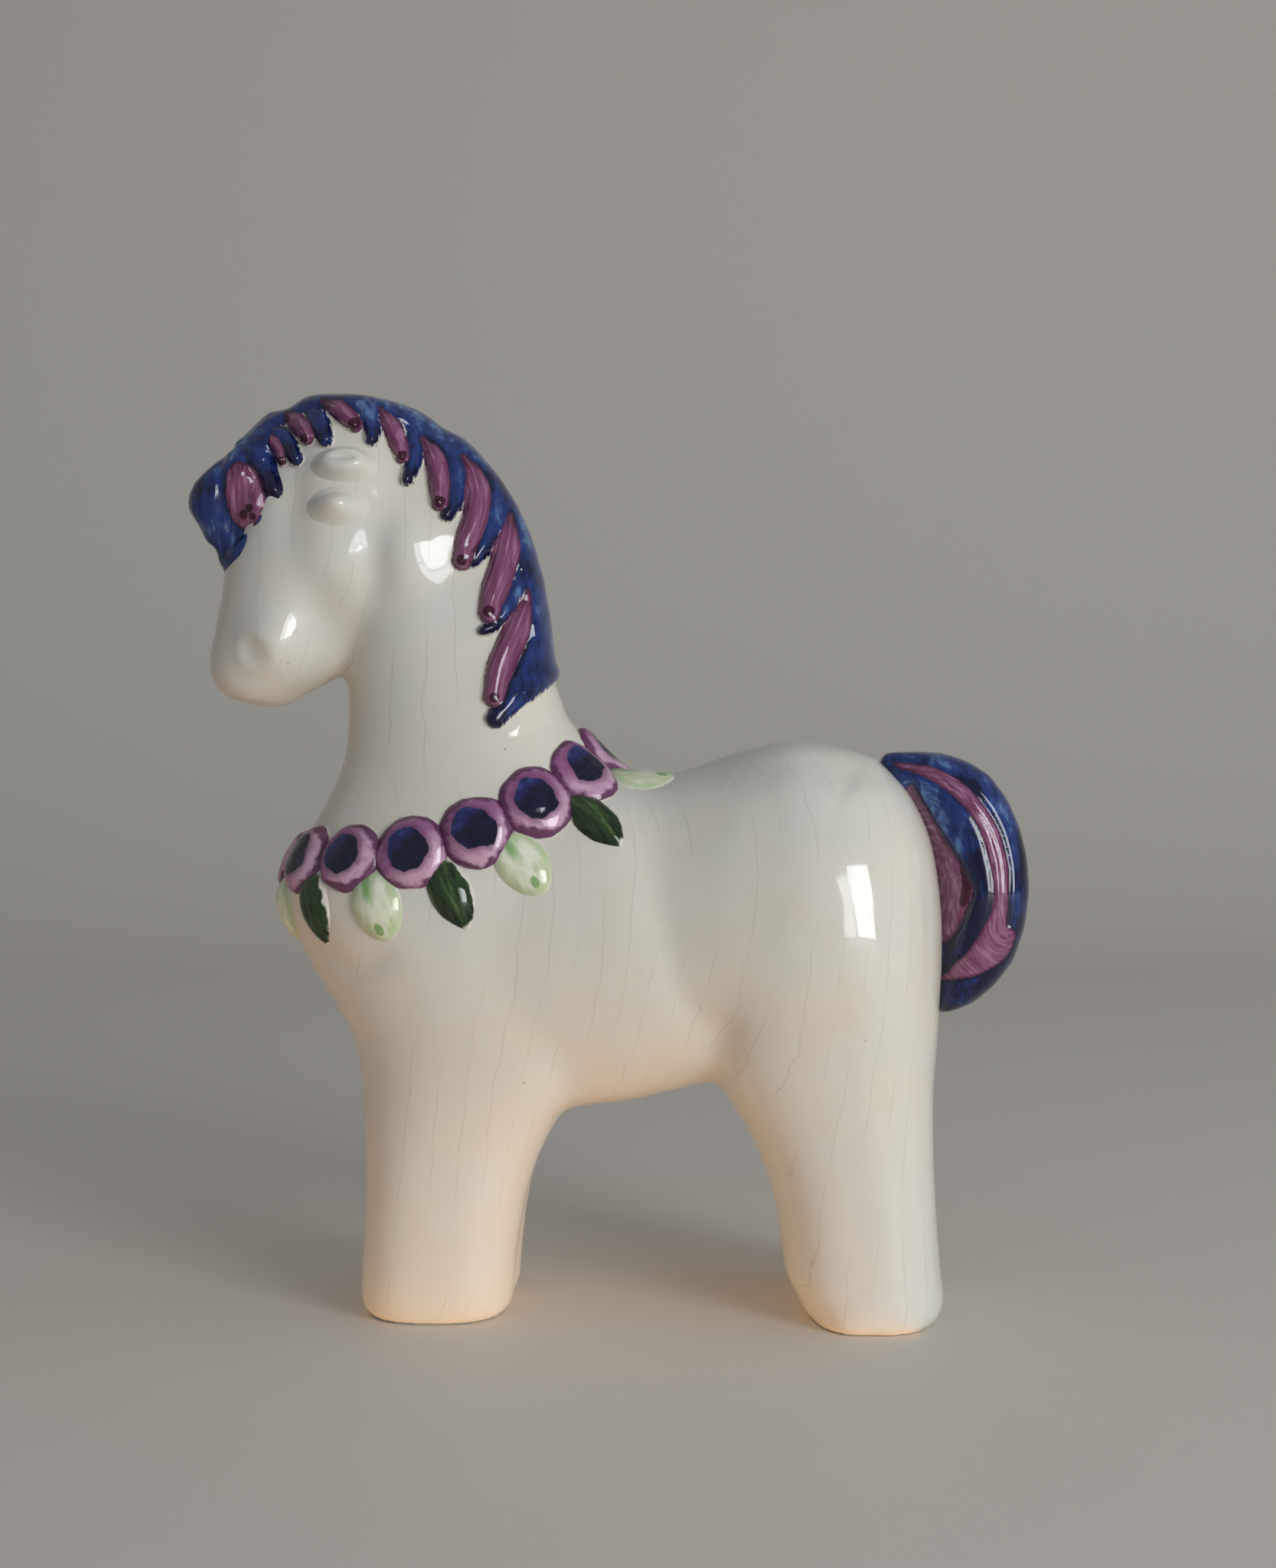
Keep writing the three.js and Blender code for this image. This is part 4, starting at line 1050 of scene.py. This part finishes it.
class PadTree(NodeShop):
    """A Geometry Nodes tree in the making."""

    def __init__(self, name):
        super().__init__(bpy.data.node_groups.new(name, "GeometryNodeTree"))
        for way in ("INPUT", "OUTPUT"):
            self.tree.interface.new_socket("Geometry", in_out=way,
                                           socket_type="NodeSocketGeometry")
        self.start = self.tree.nodes.new("NodeGroupInput")
        self.end = self.tree.nodes.new("NodeGroupOutput")

    def given(self, name, kind):
        self.tree.interface.new_socket(name, in_out="INPUT", socket_type=kind)
        return Tone(self, self.start.outputs[name])

    def carried(self, name, kind="FLOAT"):
        """What each point carries under this name."""
        return self.node("GeometryNodeInputNamedAttribute", {"data_type": kind}, {"Name": name})

    def scaled(self, vector, by):
        return self.node("ShaderNodeVectorMath", {"operation": "SCALE"},
                         {"Vector": vector, "Scale": by})

    def added(self, first, second):
        return self.node("ShaderNodeVectorMath", {"operation": "ADD"}, {0: first, 1: second})


def pressed_pads():
    """The tree that lays a blank on each seat and presses it on the skin."""
    kit = PadTree("pressed pads")
    blank, skin = kit.given("Blank", "NodeSocketObject"), kit.given("Skin", "NodeSocketObject")
    thickness, wobble = (kit.given(name, "NodeSocketFloat") for name in ("Thickness", "Wobble"))
    glaze = kit.given("Glaze", "NodeSocketMaterial")
    up = kit.carried("up", "FLOAT_VECTOR")
    turn = kit.node("FunctionNodeAxesToRotation", {"primary_axis": "Z", "secondary_axis": "X"},
                    {"Primary Axis": up, "Secondary Axis": kit.carried("ahead", "FLOAT_VECTOR")})
    size = kit.vector(kit.carried("half_length"), kit.carried("half_width"), 1.0)
    blank_mesh = kit.node("GeometryNodeObjectInfo", None, {"Object": blank}, out="Geometry")
    laid = kit.node("GeometryNodeInstanceOnPoints", None, {
        "Points": Tone(kit, kit.start.outputs["Geometry"]), "Instance": blank_mesh,
        "Rotation": turn, "Scale": size})
    real = kit.node("GeometryNodeRealizeInstances", None, {"Geometry": laid})
    place = kit.node("GeometryNodeInputPosition")
    sway = kit.node("ShaderNodeTexNoise", {"noise_dimensions": "4D"}, {
        "Vector": place, "W": kit.carried("seed"), "Scale": SWAY_SCALE, "Detail": 1.0},
        out="Color")
    swayed = kit.added(place, kit.scaled(kit.added(sway, (-0.5, -0.5, -0.5)), wobble))
    skin_mesh = kit.node("GeometryNodeObjectInfo", None, {"Object": skin}, out="Geometry")
    hit = kit.node("GeometryNodeRaycast", None, {
        "Target Geometry": skin_mesh, "Source Position": kit.added(swayed, kit.scaled(up, RAY_START)),
        "Ray Direction": kit.scaled(up, -1.0), "Ray Length": RAY_LENGTH}, out="Hit Position")
    lifted = kit.added(hit, kit.scaled(up, kit.carried("relief") * thickness))
    pressed = kit.node("GeometryNodeSetPosition", None, {
        "Geometry": real, "Selection": Tone(kit, hit.socket.node.outputs["Is Hit"]),
        "Position": lifted})
    painted = kit.node("GeometryNodeSetMaterial", None, {"Geometry": pressed, "Material": glaze})
    kit.tree.links.new(painted.socket, kit.end.inputs["Geometry"])
    return kit.tree


pad_tree = pressed_pads()
print("pad tree nodes:", len(pad_tree.nodes))

# %% [markdown]
# ## Seats and blanks
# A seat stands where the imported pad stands: at the middle of its points, standing up along the
# skin's own direction there. A blank is a closed disc of rings one unit in radius. Its top carries
# the relief from 0 to 1, and its lower side dips below the skin, so the pad grows out of it.

# %% Seats, blanks and the press
# A pad's underside: its depth under the skin in parts of the thickness, and how far it draws in
PAD_FOOT = -0.35
FOOT_SHARE = 0.97
SEED_STEP = 7.3


def seat_for(node, ahead=None):
    """Middle, up and ahead of a CAD node, with its half length and half width in mm."""
    points = points_of(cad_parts[node].data) / MM
    middle = (points.min(0) + points.max(0)) / 2
    offset = points - middle
    hits = [skin_tree.find_nearest(Vector(point)) for point in points[::3]]
    up = Vector(np.mean([hit[1] for hit in hits], axis=0)).normalized()
    if ahead is None:
        ahead = np.linalg.eigh(offset.T @ offset)[1][:, 2]
    ahead = Vector(ahead)
    ahead = (ahead - up * ahead.dot(up)).normalized()
    seat = {"up": up, "ahead": ahead}
    for key, arrow in (("half_length", ahead), ("half_width", up.cross(ahead))):
        reach = offset @ np.array(arrow)
        middle = middle + np.array(arrow) * (reach.max() + reach.min()) / 2
        seat[key] = (reach.max() - reach.min()) / 2
    return {**seat, "middle": middle}


def blank_pad(name, outline, relief, rings, segments=44):
    """A closed pad blank: outline(angle) gives its edge, relief(x, y, ring) its height."""
    edge = [outline(2 * math.pi * k / segments) for k in range(segments)]
    spots = [(0.0, 0.0, 0.0)] + [(x * ring, y * ring, ring) for ring in rings for x, y in edge]
    heights = [relief(*spot) for spot in spots] + [PAD_FOOT] * (segments + 1)
    spots += [(x * FOOT_SHARE, y * FOOT_SHARE, 0.0) for x, y, _ in spots[-segments:]]
    spots.append((0.0, 0.0, 0.0))
    starts = [1 + row * segments for row in range(len(rings))]
    foot, last = 1 + len(rings) * segments, len(spots) - 1
    faces = []
    for k in range(segments):
        after = (k + 1) % segments
        faces += [(0, 1 + k, 1 + after), (foot + k, last, foot + after)]
        faces += [(a + k, a + segments + k, a + segments + after, a + after) for a in starts]
    mesh = bpy.data.meshes.new(name)
    mesh.from_pydata([(x * MM, y * MM, 0.0) for x, y, _ in spots], [], faces)
    mesh.shade_smooth()
    carry(mesh, {"relief": heights, "pad_x": [spot[0] for spot in spots],
                 "pad_y": [spot[1] for spot in spots]})
    return linked(name, mesh)


def press(name, seats, blank, thickness, glaze, slot, wobble=0.0):
    """Runs the tree on the seats, keeps the plain mesh that it makes and drops the blank."""
    mesh = bpy.data.meshes.new(name)
    mesh.from_pydata([tuple(seat["middle"] * MM) for seat in seats], [], [])
    for key in ("up", "ahead"):
        field = mesh.attributes.new(key, "FLOAT_VECTOR", "POINT")
        for point, seat in zip(field.data, seats):
            point.vector = seat[key]
    carry(mesh, {key: [seat[key] for seat in seats] for key in ("half_length", "half_width")})
    carry(mesh, {"seed": [k * SEED_STEP for k in range(len(seats))]})
    thing = linked(name, mesh)
    modifier = thing.modifiers.new("pressed", "NODES")
    modifier.node_group = pad_tree
    given = {s.name: s.identifier for s in pad_tree.interface.items_tree if s.in_out == "INPUT"}
    for key, value in (("Blank", blank), ("Skin", body), ("Thickness", thickness * MM),
                       ("Wobble", wobble * MM), ("Glaze", glaze)):
        modifier[given[key]] = value
    settled(thing)
    bpy.data.objects.remove(blank)
    thing.data.shade_smooth()
    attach(thing, "root")
    return thing


def rings_to(edge, count=16):
    """Ring radii that crowd towards the edge, where a pad turns down."""
    return [edge * math.sin(math.pi / 2 * (k + 1) / count) for k in range(count)]


print("seats and blanks are ready")

# %% [markdown]
# ## Ears and eyelids
# The ears are low ovals with a shallow hollow along the middle, and the closed lids are plain low
# domes. Both melt into the head under the glaze, so their relief ends in a soft skirt instead of an
# edge.

# %% Ears and eyelids
EAR_SHARE = 0.8
EAR_SHIFT = -1.1
EAR_THICK = 3.2
LID_THICK = 3.2
SKIRT_DIP = 0.06


def oval(angle):
    return math.cos(angle), math.sin(angle)


def ear_relief(x, y, ring):
    hollow = 0.3 * bell(x, 0.6) * bell(y - 0.22, 0.3)
    lip = 0.06 * bell(ring - 0.72, 0.2)
    return (1 - smooth_rise(ring, 0.4, 1.28)) * (0.92 - hollow) + lip - SKIRT_DIP


def lid_relief(x, y, ring):
    crease = 0.16 * bell(x, 0.7) * bell(y - 0.75 + 0.25 * x * x, 0.14)
    return 1 - smooth_rise(ring, 0.0, 1.35) - crease - SKIRT_DIP


def paired_seats(kind):
    """The seats of a left and a right node, both with y pointing up."""
    return [seat_for(f"{kind}_left", (1, 0, 0)), seat_for(f"{kind}_right", (-1, 0, 0))]


ear_seats = paired_seats("ear")
for seat in ear_seats:
    seat["half_length"] *= EAR_SHARE
    seat["middle"][0] += EAR_SHIFT
ears = press("ears", ear_seats, blank_pad("ear blank", oval, ear_relief, rings_to(1.32)),
             EAR_THICK, ivory_glaze, "ivory_glaze")
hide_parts("ear_left", "ear_right")
eyelids = press("eyelids", paired_seats("eyelid"),
                blank_pad("lid blank", oval, lid_relief, rings_to(1.4)),
                LID_THICK, ivory_glaze, "ivory_glaze")
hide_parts("eyelid_left", "eyelid_right")
print("ears:", len(ears.data.polygons), "eyelids:", len(eyelids.data.polygons))

# %% [markdown]
# ## The garland's flowers
# Fourteen round flowers circle the neck's root, each touching the next. The clay disc has a rounded
# rim and a low button in the middle. The painter filled the button with an uneven blue blot and drew
# the rim in dark plum. The mauve petals turn lighter lilac in a crescent low on one side, which is a
# painted highlight where the light falls. Seed numbers give each flower its own blot.

# %% Flowers
# The lighter lilac is painted light: it fills the crescent where the light falls, and mauve is the
# petals' paint elsewhere
LILAC_LIT = paint(196, 158, 182)
MAUVE = paint(146, 94, 134)
RIM = paint(84, 30, 74)
EYE = [paint(56, 72, 132), paint(28, 32, 82), paint(10, 11, 36)]
FLOWER_THICK = 2.0
FLOWER_SPREAD = 1.12
FLOWER_WOBBLE = 1.3
FLAT_PART, RIM_PART = 0.55, 0.53
FLOWER_RINGS = [0.1, 0.2, 0.3, 0.38, 0.46, 0.54, 0.62, 0.7, 0.78, 0.85, 0.91, 0.96, 1.0, 1.04, 1.08]
FLOWERS = (["flower_chest", "flower_withers"]
           + [f"flower_{side}_{k}" for side in ("left", "right") for k in range(1, 7)])


def pad_material(name):
    """A material's start: its body, the place on the pad, the ring there and the pad's seed."""
    shop = GlazeShop(name)
    x, y, seed = shop.read("pad_x", "pad_y", "seed")
    return shop, *ivory_body(shop, shop.place()), x, y, shop.length(x, y), seed


def make_flower_paint():
    shop, ivory, height, x, y, ring, seed = pad_material("flower_glaze")
    rough_edge = shop.cloud(shop.vector(x * 1.5, y * 1.5, seed), 1.0, 2.0, 0.5)
    fine = shop.cloud(shop.vector(x * 5, y * 5, seed + 3.0), 1.0, 3.0, 0.6)
    # Painted highlight: the petals turn lighter lilac in a crescent on the lower side where the light
    # falls
    crescent = (x * 0.5 - y * 0.55 + (rough_edge - 0.5) * 1.6).step(-0.35, 0.4)
    wash = shop.blend(crescent, MAUVE, LILAC_LIT)
    petals = shop.blend(((fine - 0.5) * 2 + 0.3).step(0.1, 1.0) * 0.5, wash, PLUM[1])
    rim = (ring + (rough_edge - 0.5) * 0.5 + (fine - 0.5) * 0.16).step(0.82, 0.93)
    petals = shop.blend(rim * 0.9, petals, RIM)
    off_centre = shop.length(x + 0.05, y - 0.04)
    blot = 1 - (off_centre - rough_edge * 0.44 + (fine - 0.5) * 0.08 - 0.38).step(-0.025, 0.025)
    halo = 1 - (off_centre - rough_edge * 0.48 - 0.4).step(0.0, 0.14)
    petals = shop.blend(halo * 0.45, petals, RIM)
    blue = stain(shop, 0.95 + (fine - 0.5) * 1.1 - (y - x + 0.1).step(0.3, 0.9) * 0.6, EYE)
    foot = (shop.read("relief")[0] + (fine - 0.5) * 0.12).step(0.05, 0.16)
    return glazed(shop, shop.blend(foot, ivory, shop.blend(blot, petals, blue)), height)


def flower_relief(x, y, _ring):
    """A button on a flat part, and a rim that turns down."""
    rho = math.hypot(x, y)
    t = min(max((rho - FLAT_PART) / RIM_PART, 0.0), 1.0)
    return (0.86 + 0.1 * math.exp(-(rho / 0.34) ** 4)) * (1 - t ** 2.4) ** 0.8 - 0.1 * t


def petalled(angle):
    """A round outline that a hand pressed into a soft five-sided one."""
    swell = 1 + 0.03 * math.cos(5 * angle) + 0.015 * math.cos(8 * angle + 1)
    return swell * math.cos(angle), swell * math.sin(angle)


flower_seats = [seat_for(name, (-1 if "right" in name else 1, 0, 0)) for name in FLOWERS]
for seat in flower_seats:
    half = FLOWER_SPREAD * (seat["half_length"] + seat["half_width"]) / 2
    seat["half_length"] = seat["half_width"] = half
garland_flowers = press(
    "garland_flowers", flower_seats,
    blank_pad("flower blank", petalled, flower_relief, FLOWER_RINGS, 48),
    FLOWER_THICK, make_flower_paint(), "flower_glaze", FLOWER_WOBBLE)
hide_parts(*FLOWERS)
print("flower radii in mm:", [round(s["half_length"], 1) for s in flower_seats][:4],
      "faces:", len(garland_flowers.data.polygons))

# %% [markdown]
# ## The garland's leaves
# Leaves hang between the flowers, dark and pale in turn. The dark ones are pointed and painted in
# dark green with lighter strokes down the middle, and some ivory clay shows past the paint. The
# pale ones are plump buds with a green wash at the rim, a streak at the base and a dot near the tip.

# %% Leaves
DARK_GREEN = [paint(80, 104, 58), paint(38, 60, 30), paint(12, 27, 12)]
PALE_GREEN = paint(178, 194, 152)
FRESH_GREEN = paint(108, 156, 84)
BUD_WHITE = paint(222, 224, 206)
LEAF_THICK = 1.7
LEAF_WOBBLE = 0.5
LEAF_RINGS = [0.12, 0.25, 0.38, 0.5, 0.62, 0.72, 0.81, 0.88, 0.94, 0.98, 1.0]
# Half length and half width in mm
DARK_LEAF = (6.4, 3.5)
PALE_LEAF = (5.7, 4.2)


def make_dark_leaf():
    shop, ivory, height, x, y, ring, seed = pad_material("dark_leaf_glaze")
    streaks = shop.cloud(shop.vector(x * 1.4, y * 5, seed), 1.0, 4.0, 0.65)
    middle = 1 - abs(y + (streaks - 0.5) * 0.3).step(0.0, 0.34)
    amount = 0.6 + (streaks - 0.5) * 2.2 - middle * 0.2 + x.step(0.3, 0.95) * 0.3
    reach = 0.9 + (shop.cloud(shop.vector(x * 3, y * 3, seed + 9.0), 1.0, 2.0) - 0.5) * 0.3
    cover = 1 - (ring + y * 0.08 - reach).step(-0.03, 0.05)
    return glazed(shop, shop.blend(cover, ivory, stain(shop, amount, DARK_GREEN)), height)


def make_pale_leaf():
    shop, ivory, height, x, y, ring, seed = pad_material("pale_leaf_glaze")
    soft = shop.cloud(shop.vector(x * 2, y * 3, seed), 1.0, 3.0)
    bud = shop.blend(soft.step(0.3, 0.8), BUD_WHITE, PALE_GREEN)
    rim = (ring + (soft - 0.5) * 0.5).step(0.62, 0.85) * (1 - ring.step(0.9, 1.02))
    colour = shop.blend(rim * 0.75, bud, PALE_GREEN)
    streak = (1 - abs(y + 0.1).step(0.05, 0.3)) * (1 - x.step(-0.5, 0.0))
    colour = shop.blend(streak * 0.8, colour, FRESH_GREEN)
    tip = shop.length(x - 0.62, y + 0.08)
    dot = 1 - (tip + (soft - 0.5) * 0.1).step(0.12, 0.2)
    colour = shop.blend(dot * 0.85, colour, FRESH_GREEN)
    foot = 1 - (ring + (soft - 0.5) * 0.1).step(0.9, 1.02)
    return glazed(shop, shop.blend(foot, ivory, colour), height)


def pointed(angle):
    """A leaf's outline: round at the stalk, pointed at the tip."""
    x, y = oval(angle)
    return x, y * (1 - 0.55 * max(x, 0) ** 2.2)


def egg(angle):
    """A bud's outline, a little fuller at the stalk."""
    x, y = oval(angle)
    return x, y * (1 - 0.12 * x)


def leaf_relief(_x, y, ring):
    """A low dome with a crease down its middle."""
    return 0.95 * (1 - ring ** 2.6) ** 0.8 - 0.07 * ring - 0.12 * bell(y, 0.12) * (1 - ring)


def bud_relief(_x, _y, ring):
    """A plump low dome."""
    return 0.98 * (1 - ring ** 2.4) ** 0.7 - 0.07 * ring


def hanging_seat(node, size):
    """A leaf's seat, with ahead pointing from its flower to its tip, which stays in place."""
    seat = seat_for(node)
    nearest = min(flower_seats, key=lambda f: np.linalg.norm(f["middle"] - seat["middle"]))
    if (Vector(seat["middle"]) - Vector(nearest["middle"])).dot(seat["ahead"]) < 0:
        seat["ahead"] = -seat["ahead"]
    seat["middle"] = seat["middle"] + np.array(seat["ahead"]) * (seat["half_length"] - size[0])
    seat["half_length"], seat["half_width"] = size
    return seat


def make_leaves(name, numbers, size, outline, relief, glaze, slot):
    nodes = [f"leaf_{side}_{k}" for side in ("left", "right") for k in numbers]
    seats = [hanging_seat(node, size) for node in nodes]
    blank = blank_pad("leaf blank", outline, relief, LEAF_RINGS, 40)
    leaves = press(name, seats, blank, LEAF_THICK, glaze, slot, LEAF_WOBBLE)
    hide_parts(*nodes)
    print(name, "faces:", len(leaves.data.polygons))


make_leaves("dark_leaves", (2, 4, 6), DARK_LEAF, pointed, leaf_relief, make_dark_leaf(),
            "dark_leaf_glaze")
make_leaves("pale_leaves", (1, 3, 5, 7), PALE_LEAF, egg, bud_relief, make_pale_leaf(),
            "pale_leaf_glaze")

# %% [markdown]
# ## Floor, backdrop and light
# The horse stands on a plain pale sheet that curves up behind it. A tall window stood behind the
# camera to the right, and its panes show in the glaze as upright patches, so two area lamps stand
# for them. A side light fills the near side and a warm low lamp glows up from the table. The glaze
# doesn't mirror these two. An even pale world fills the shadows.

# %% Studio
FLOOR_COLOUR = paint(216, 211, 202)
WORLD_COLOUR = (0.93, 0.96, 1.0, 1.0)
WORLD_STRENGTH = 0.31
# The sheet in metres: half width, front edge, start and radius of its curve, and top edge
SWEEP_HALF, SWEEP_FRONT, SWEEP_BEND, SWEEP_RADIUS, SWEEP_TOP = 2.5, -2.5, 0.5, 0.5, 2.2
BEND_STEPS = 16
MIDDLE = (0, 0, 0.08)
# Name, place, width, height, radiance, colour, target and whether the glaze mirrors it
LAMPS = [
    ("window_wide", (0.64, -0.70, 0.24), 0.30, 0.44, 10.3, (0.96, 0.98, 1.0), MIDDLE, True),
    ("window_narrow", (0.46, -0.83, 0.22), 0.12, 0.40, 6.0, (0.96, 0.98, 1.0), MIDDLE, True),
    ("side_light", (0.80, -0.12, 0.12), 0.50, 0.36, 1.8, (0.98, 0.99, 1.0), MIDDLE, False),
    ("sunlit_table", (-0.07, 0.0, 0.0003), 0.24, 0.14, 0.6, (1.0, 0.52, 0.20), (-0.07, 0.0, 1.0),
     False),
]


def make_sweep():
    """The pale sheet under and behind the horse."""
    shop = GlazeShop("studio_paper")
    shader = shop.node("ShaderNodeBsdfPrincipled", None,
                       {"Base Color": FLOOR_COLOUR, "Roughness": 0.6})
    shop.node("ShaderNodeOutputMaterial", None, {"Surface": shader})
    turns = [math.pi / 2 * k / BEND_STEPS for k in range(BEND_STEPS + 1)]
    profile = [(SWEEP_FRONT, 0.0)] + [
        (SWEEP_BEND + SWEEP_RADIUS * math.sin(turn), SWEEP_RADIUS * (1 - math.cos(turn)))
        for turn in turns] + [(SWEEP_BEND + SWEEP_RADIUS, SWEEP_TOP)]
    verts = [(side * SWEEP_HALF, y, z) for y, z in profile for side in (-1, 1)]
    faces = [(2 * k, 2 * k + 1, 2 * k + 3, 2 * k + 2) for k in range(len(profile) - 1)]
    mesh = bpy.data.meshes.new("studio_sweep")
    mesh.from_pydata(verts, [], faces)
    mesh.shade_smooth()
    mesh.materials.append(shop.material)
    linked("studio_sweep", mesh)


def add_lamp(name, place, width, height, radiance, colour, target, mirrored):
    """A rectangular lamp aimed at a target."""
    data = bpy.data.lights.new(name, "AREA")
    data.shape, data.size, data.size_y = "RECTANGLE", width, height
    data.energy = radiance * math.pi * width * height
    data.color = colour
    lamp = linked(name, data)
    lamp.location = place
    lamp.visible_glossy = mirrored
    lamp.rotation_mode = "QUATERNION"
    lamp.rotation_quaternion = (Vector(target) - Vector(place)).to_track_quat("-Z", "Y")


def make_world():
    world = bpy.data.worlds.new("even light")
    bpy.context.scene.world = world
    world.use_nodes = True
    background = world.node_tree.nodes["Background"]
    background.inputs["Color"].default_value = WORLD_COLOUR
    background.inputs["Strength"].default_value = WORLD_STRENGTH


make_sweep()
make_world()
for settings in LAMPS:
    add_lamp(*settings)
bpy.context.scene.view_settings.view_transform = "Standard"
print("lamps:", len(LAMPS))
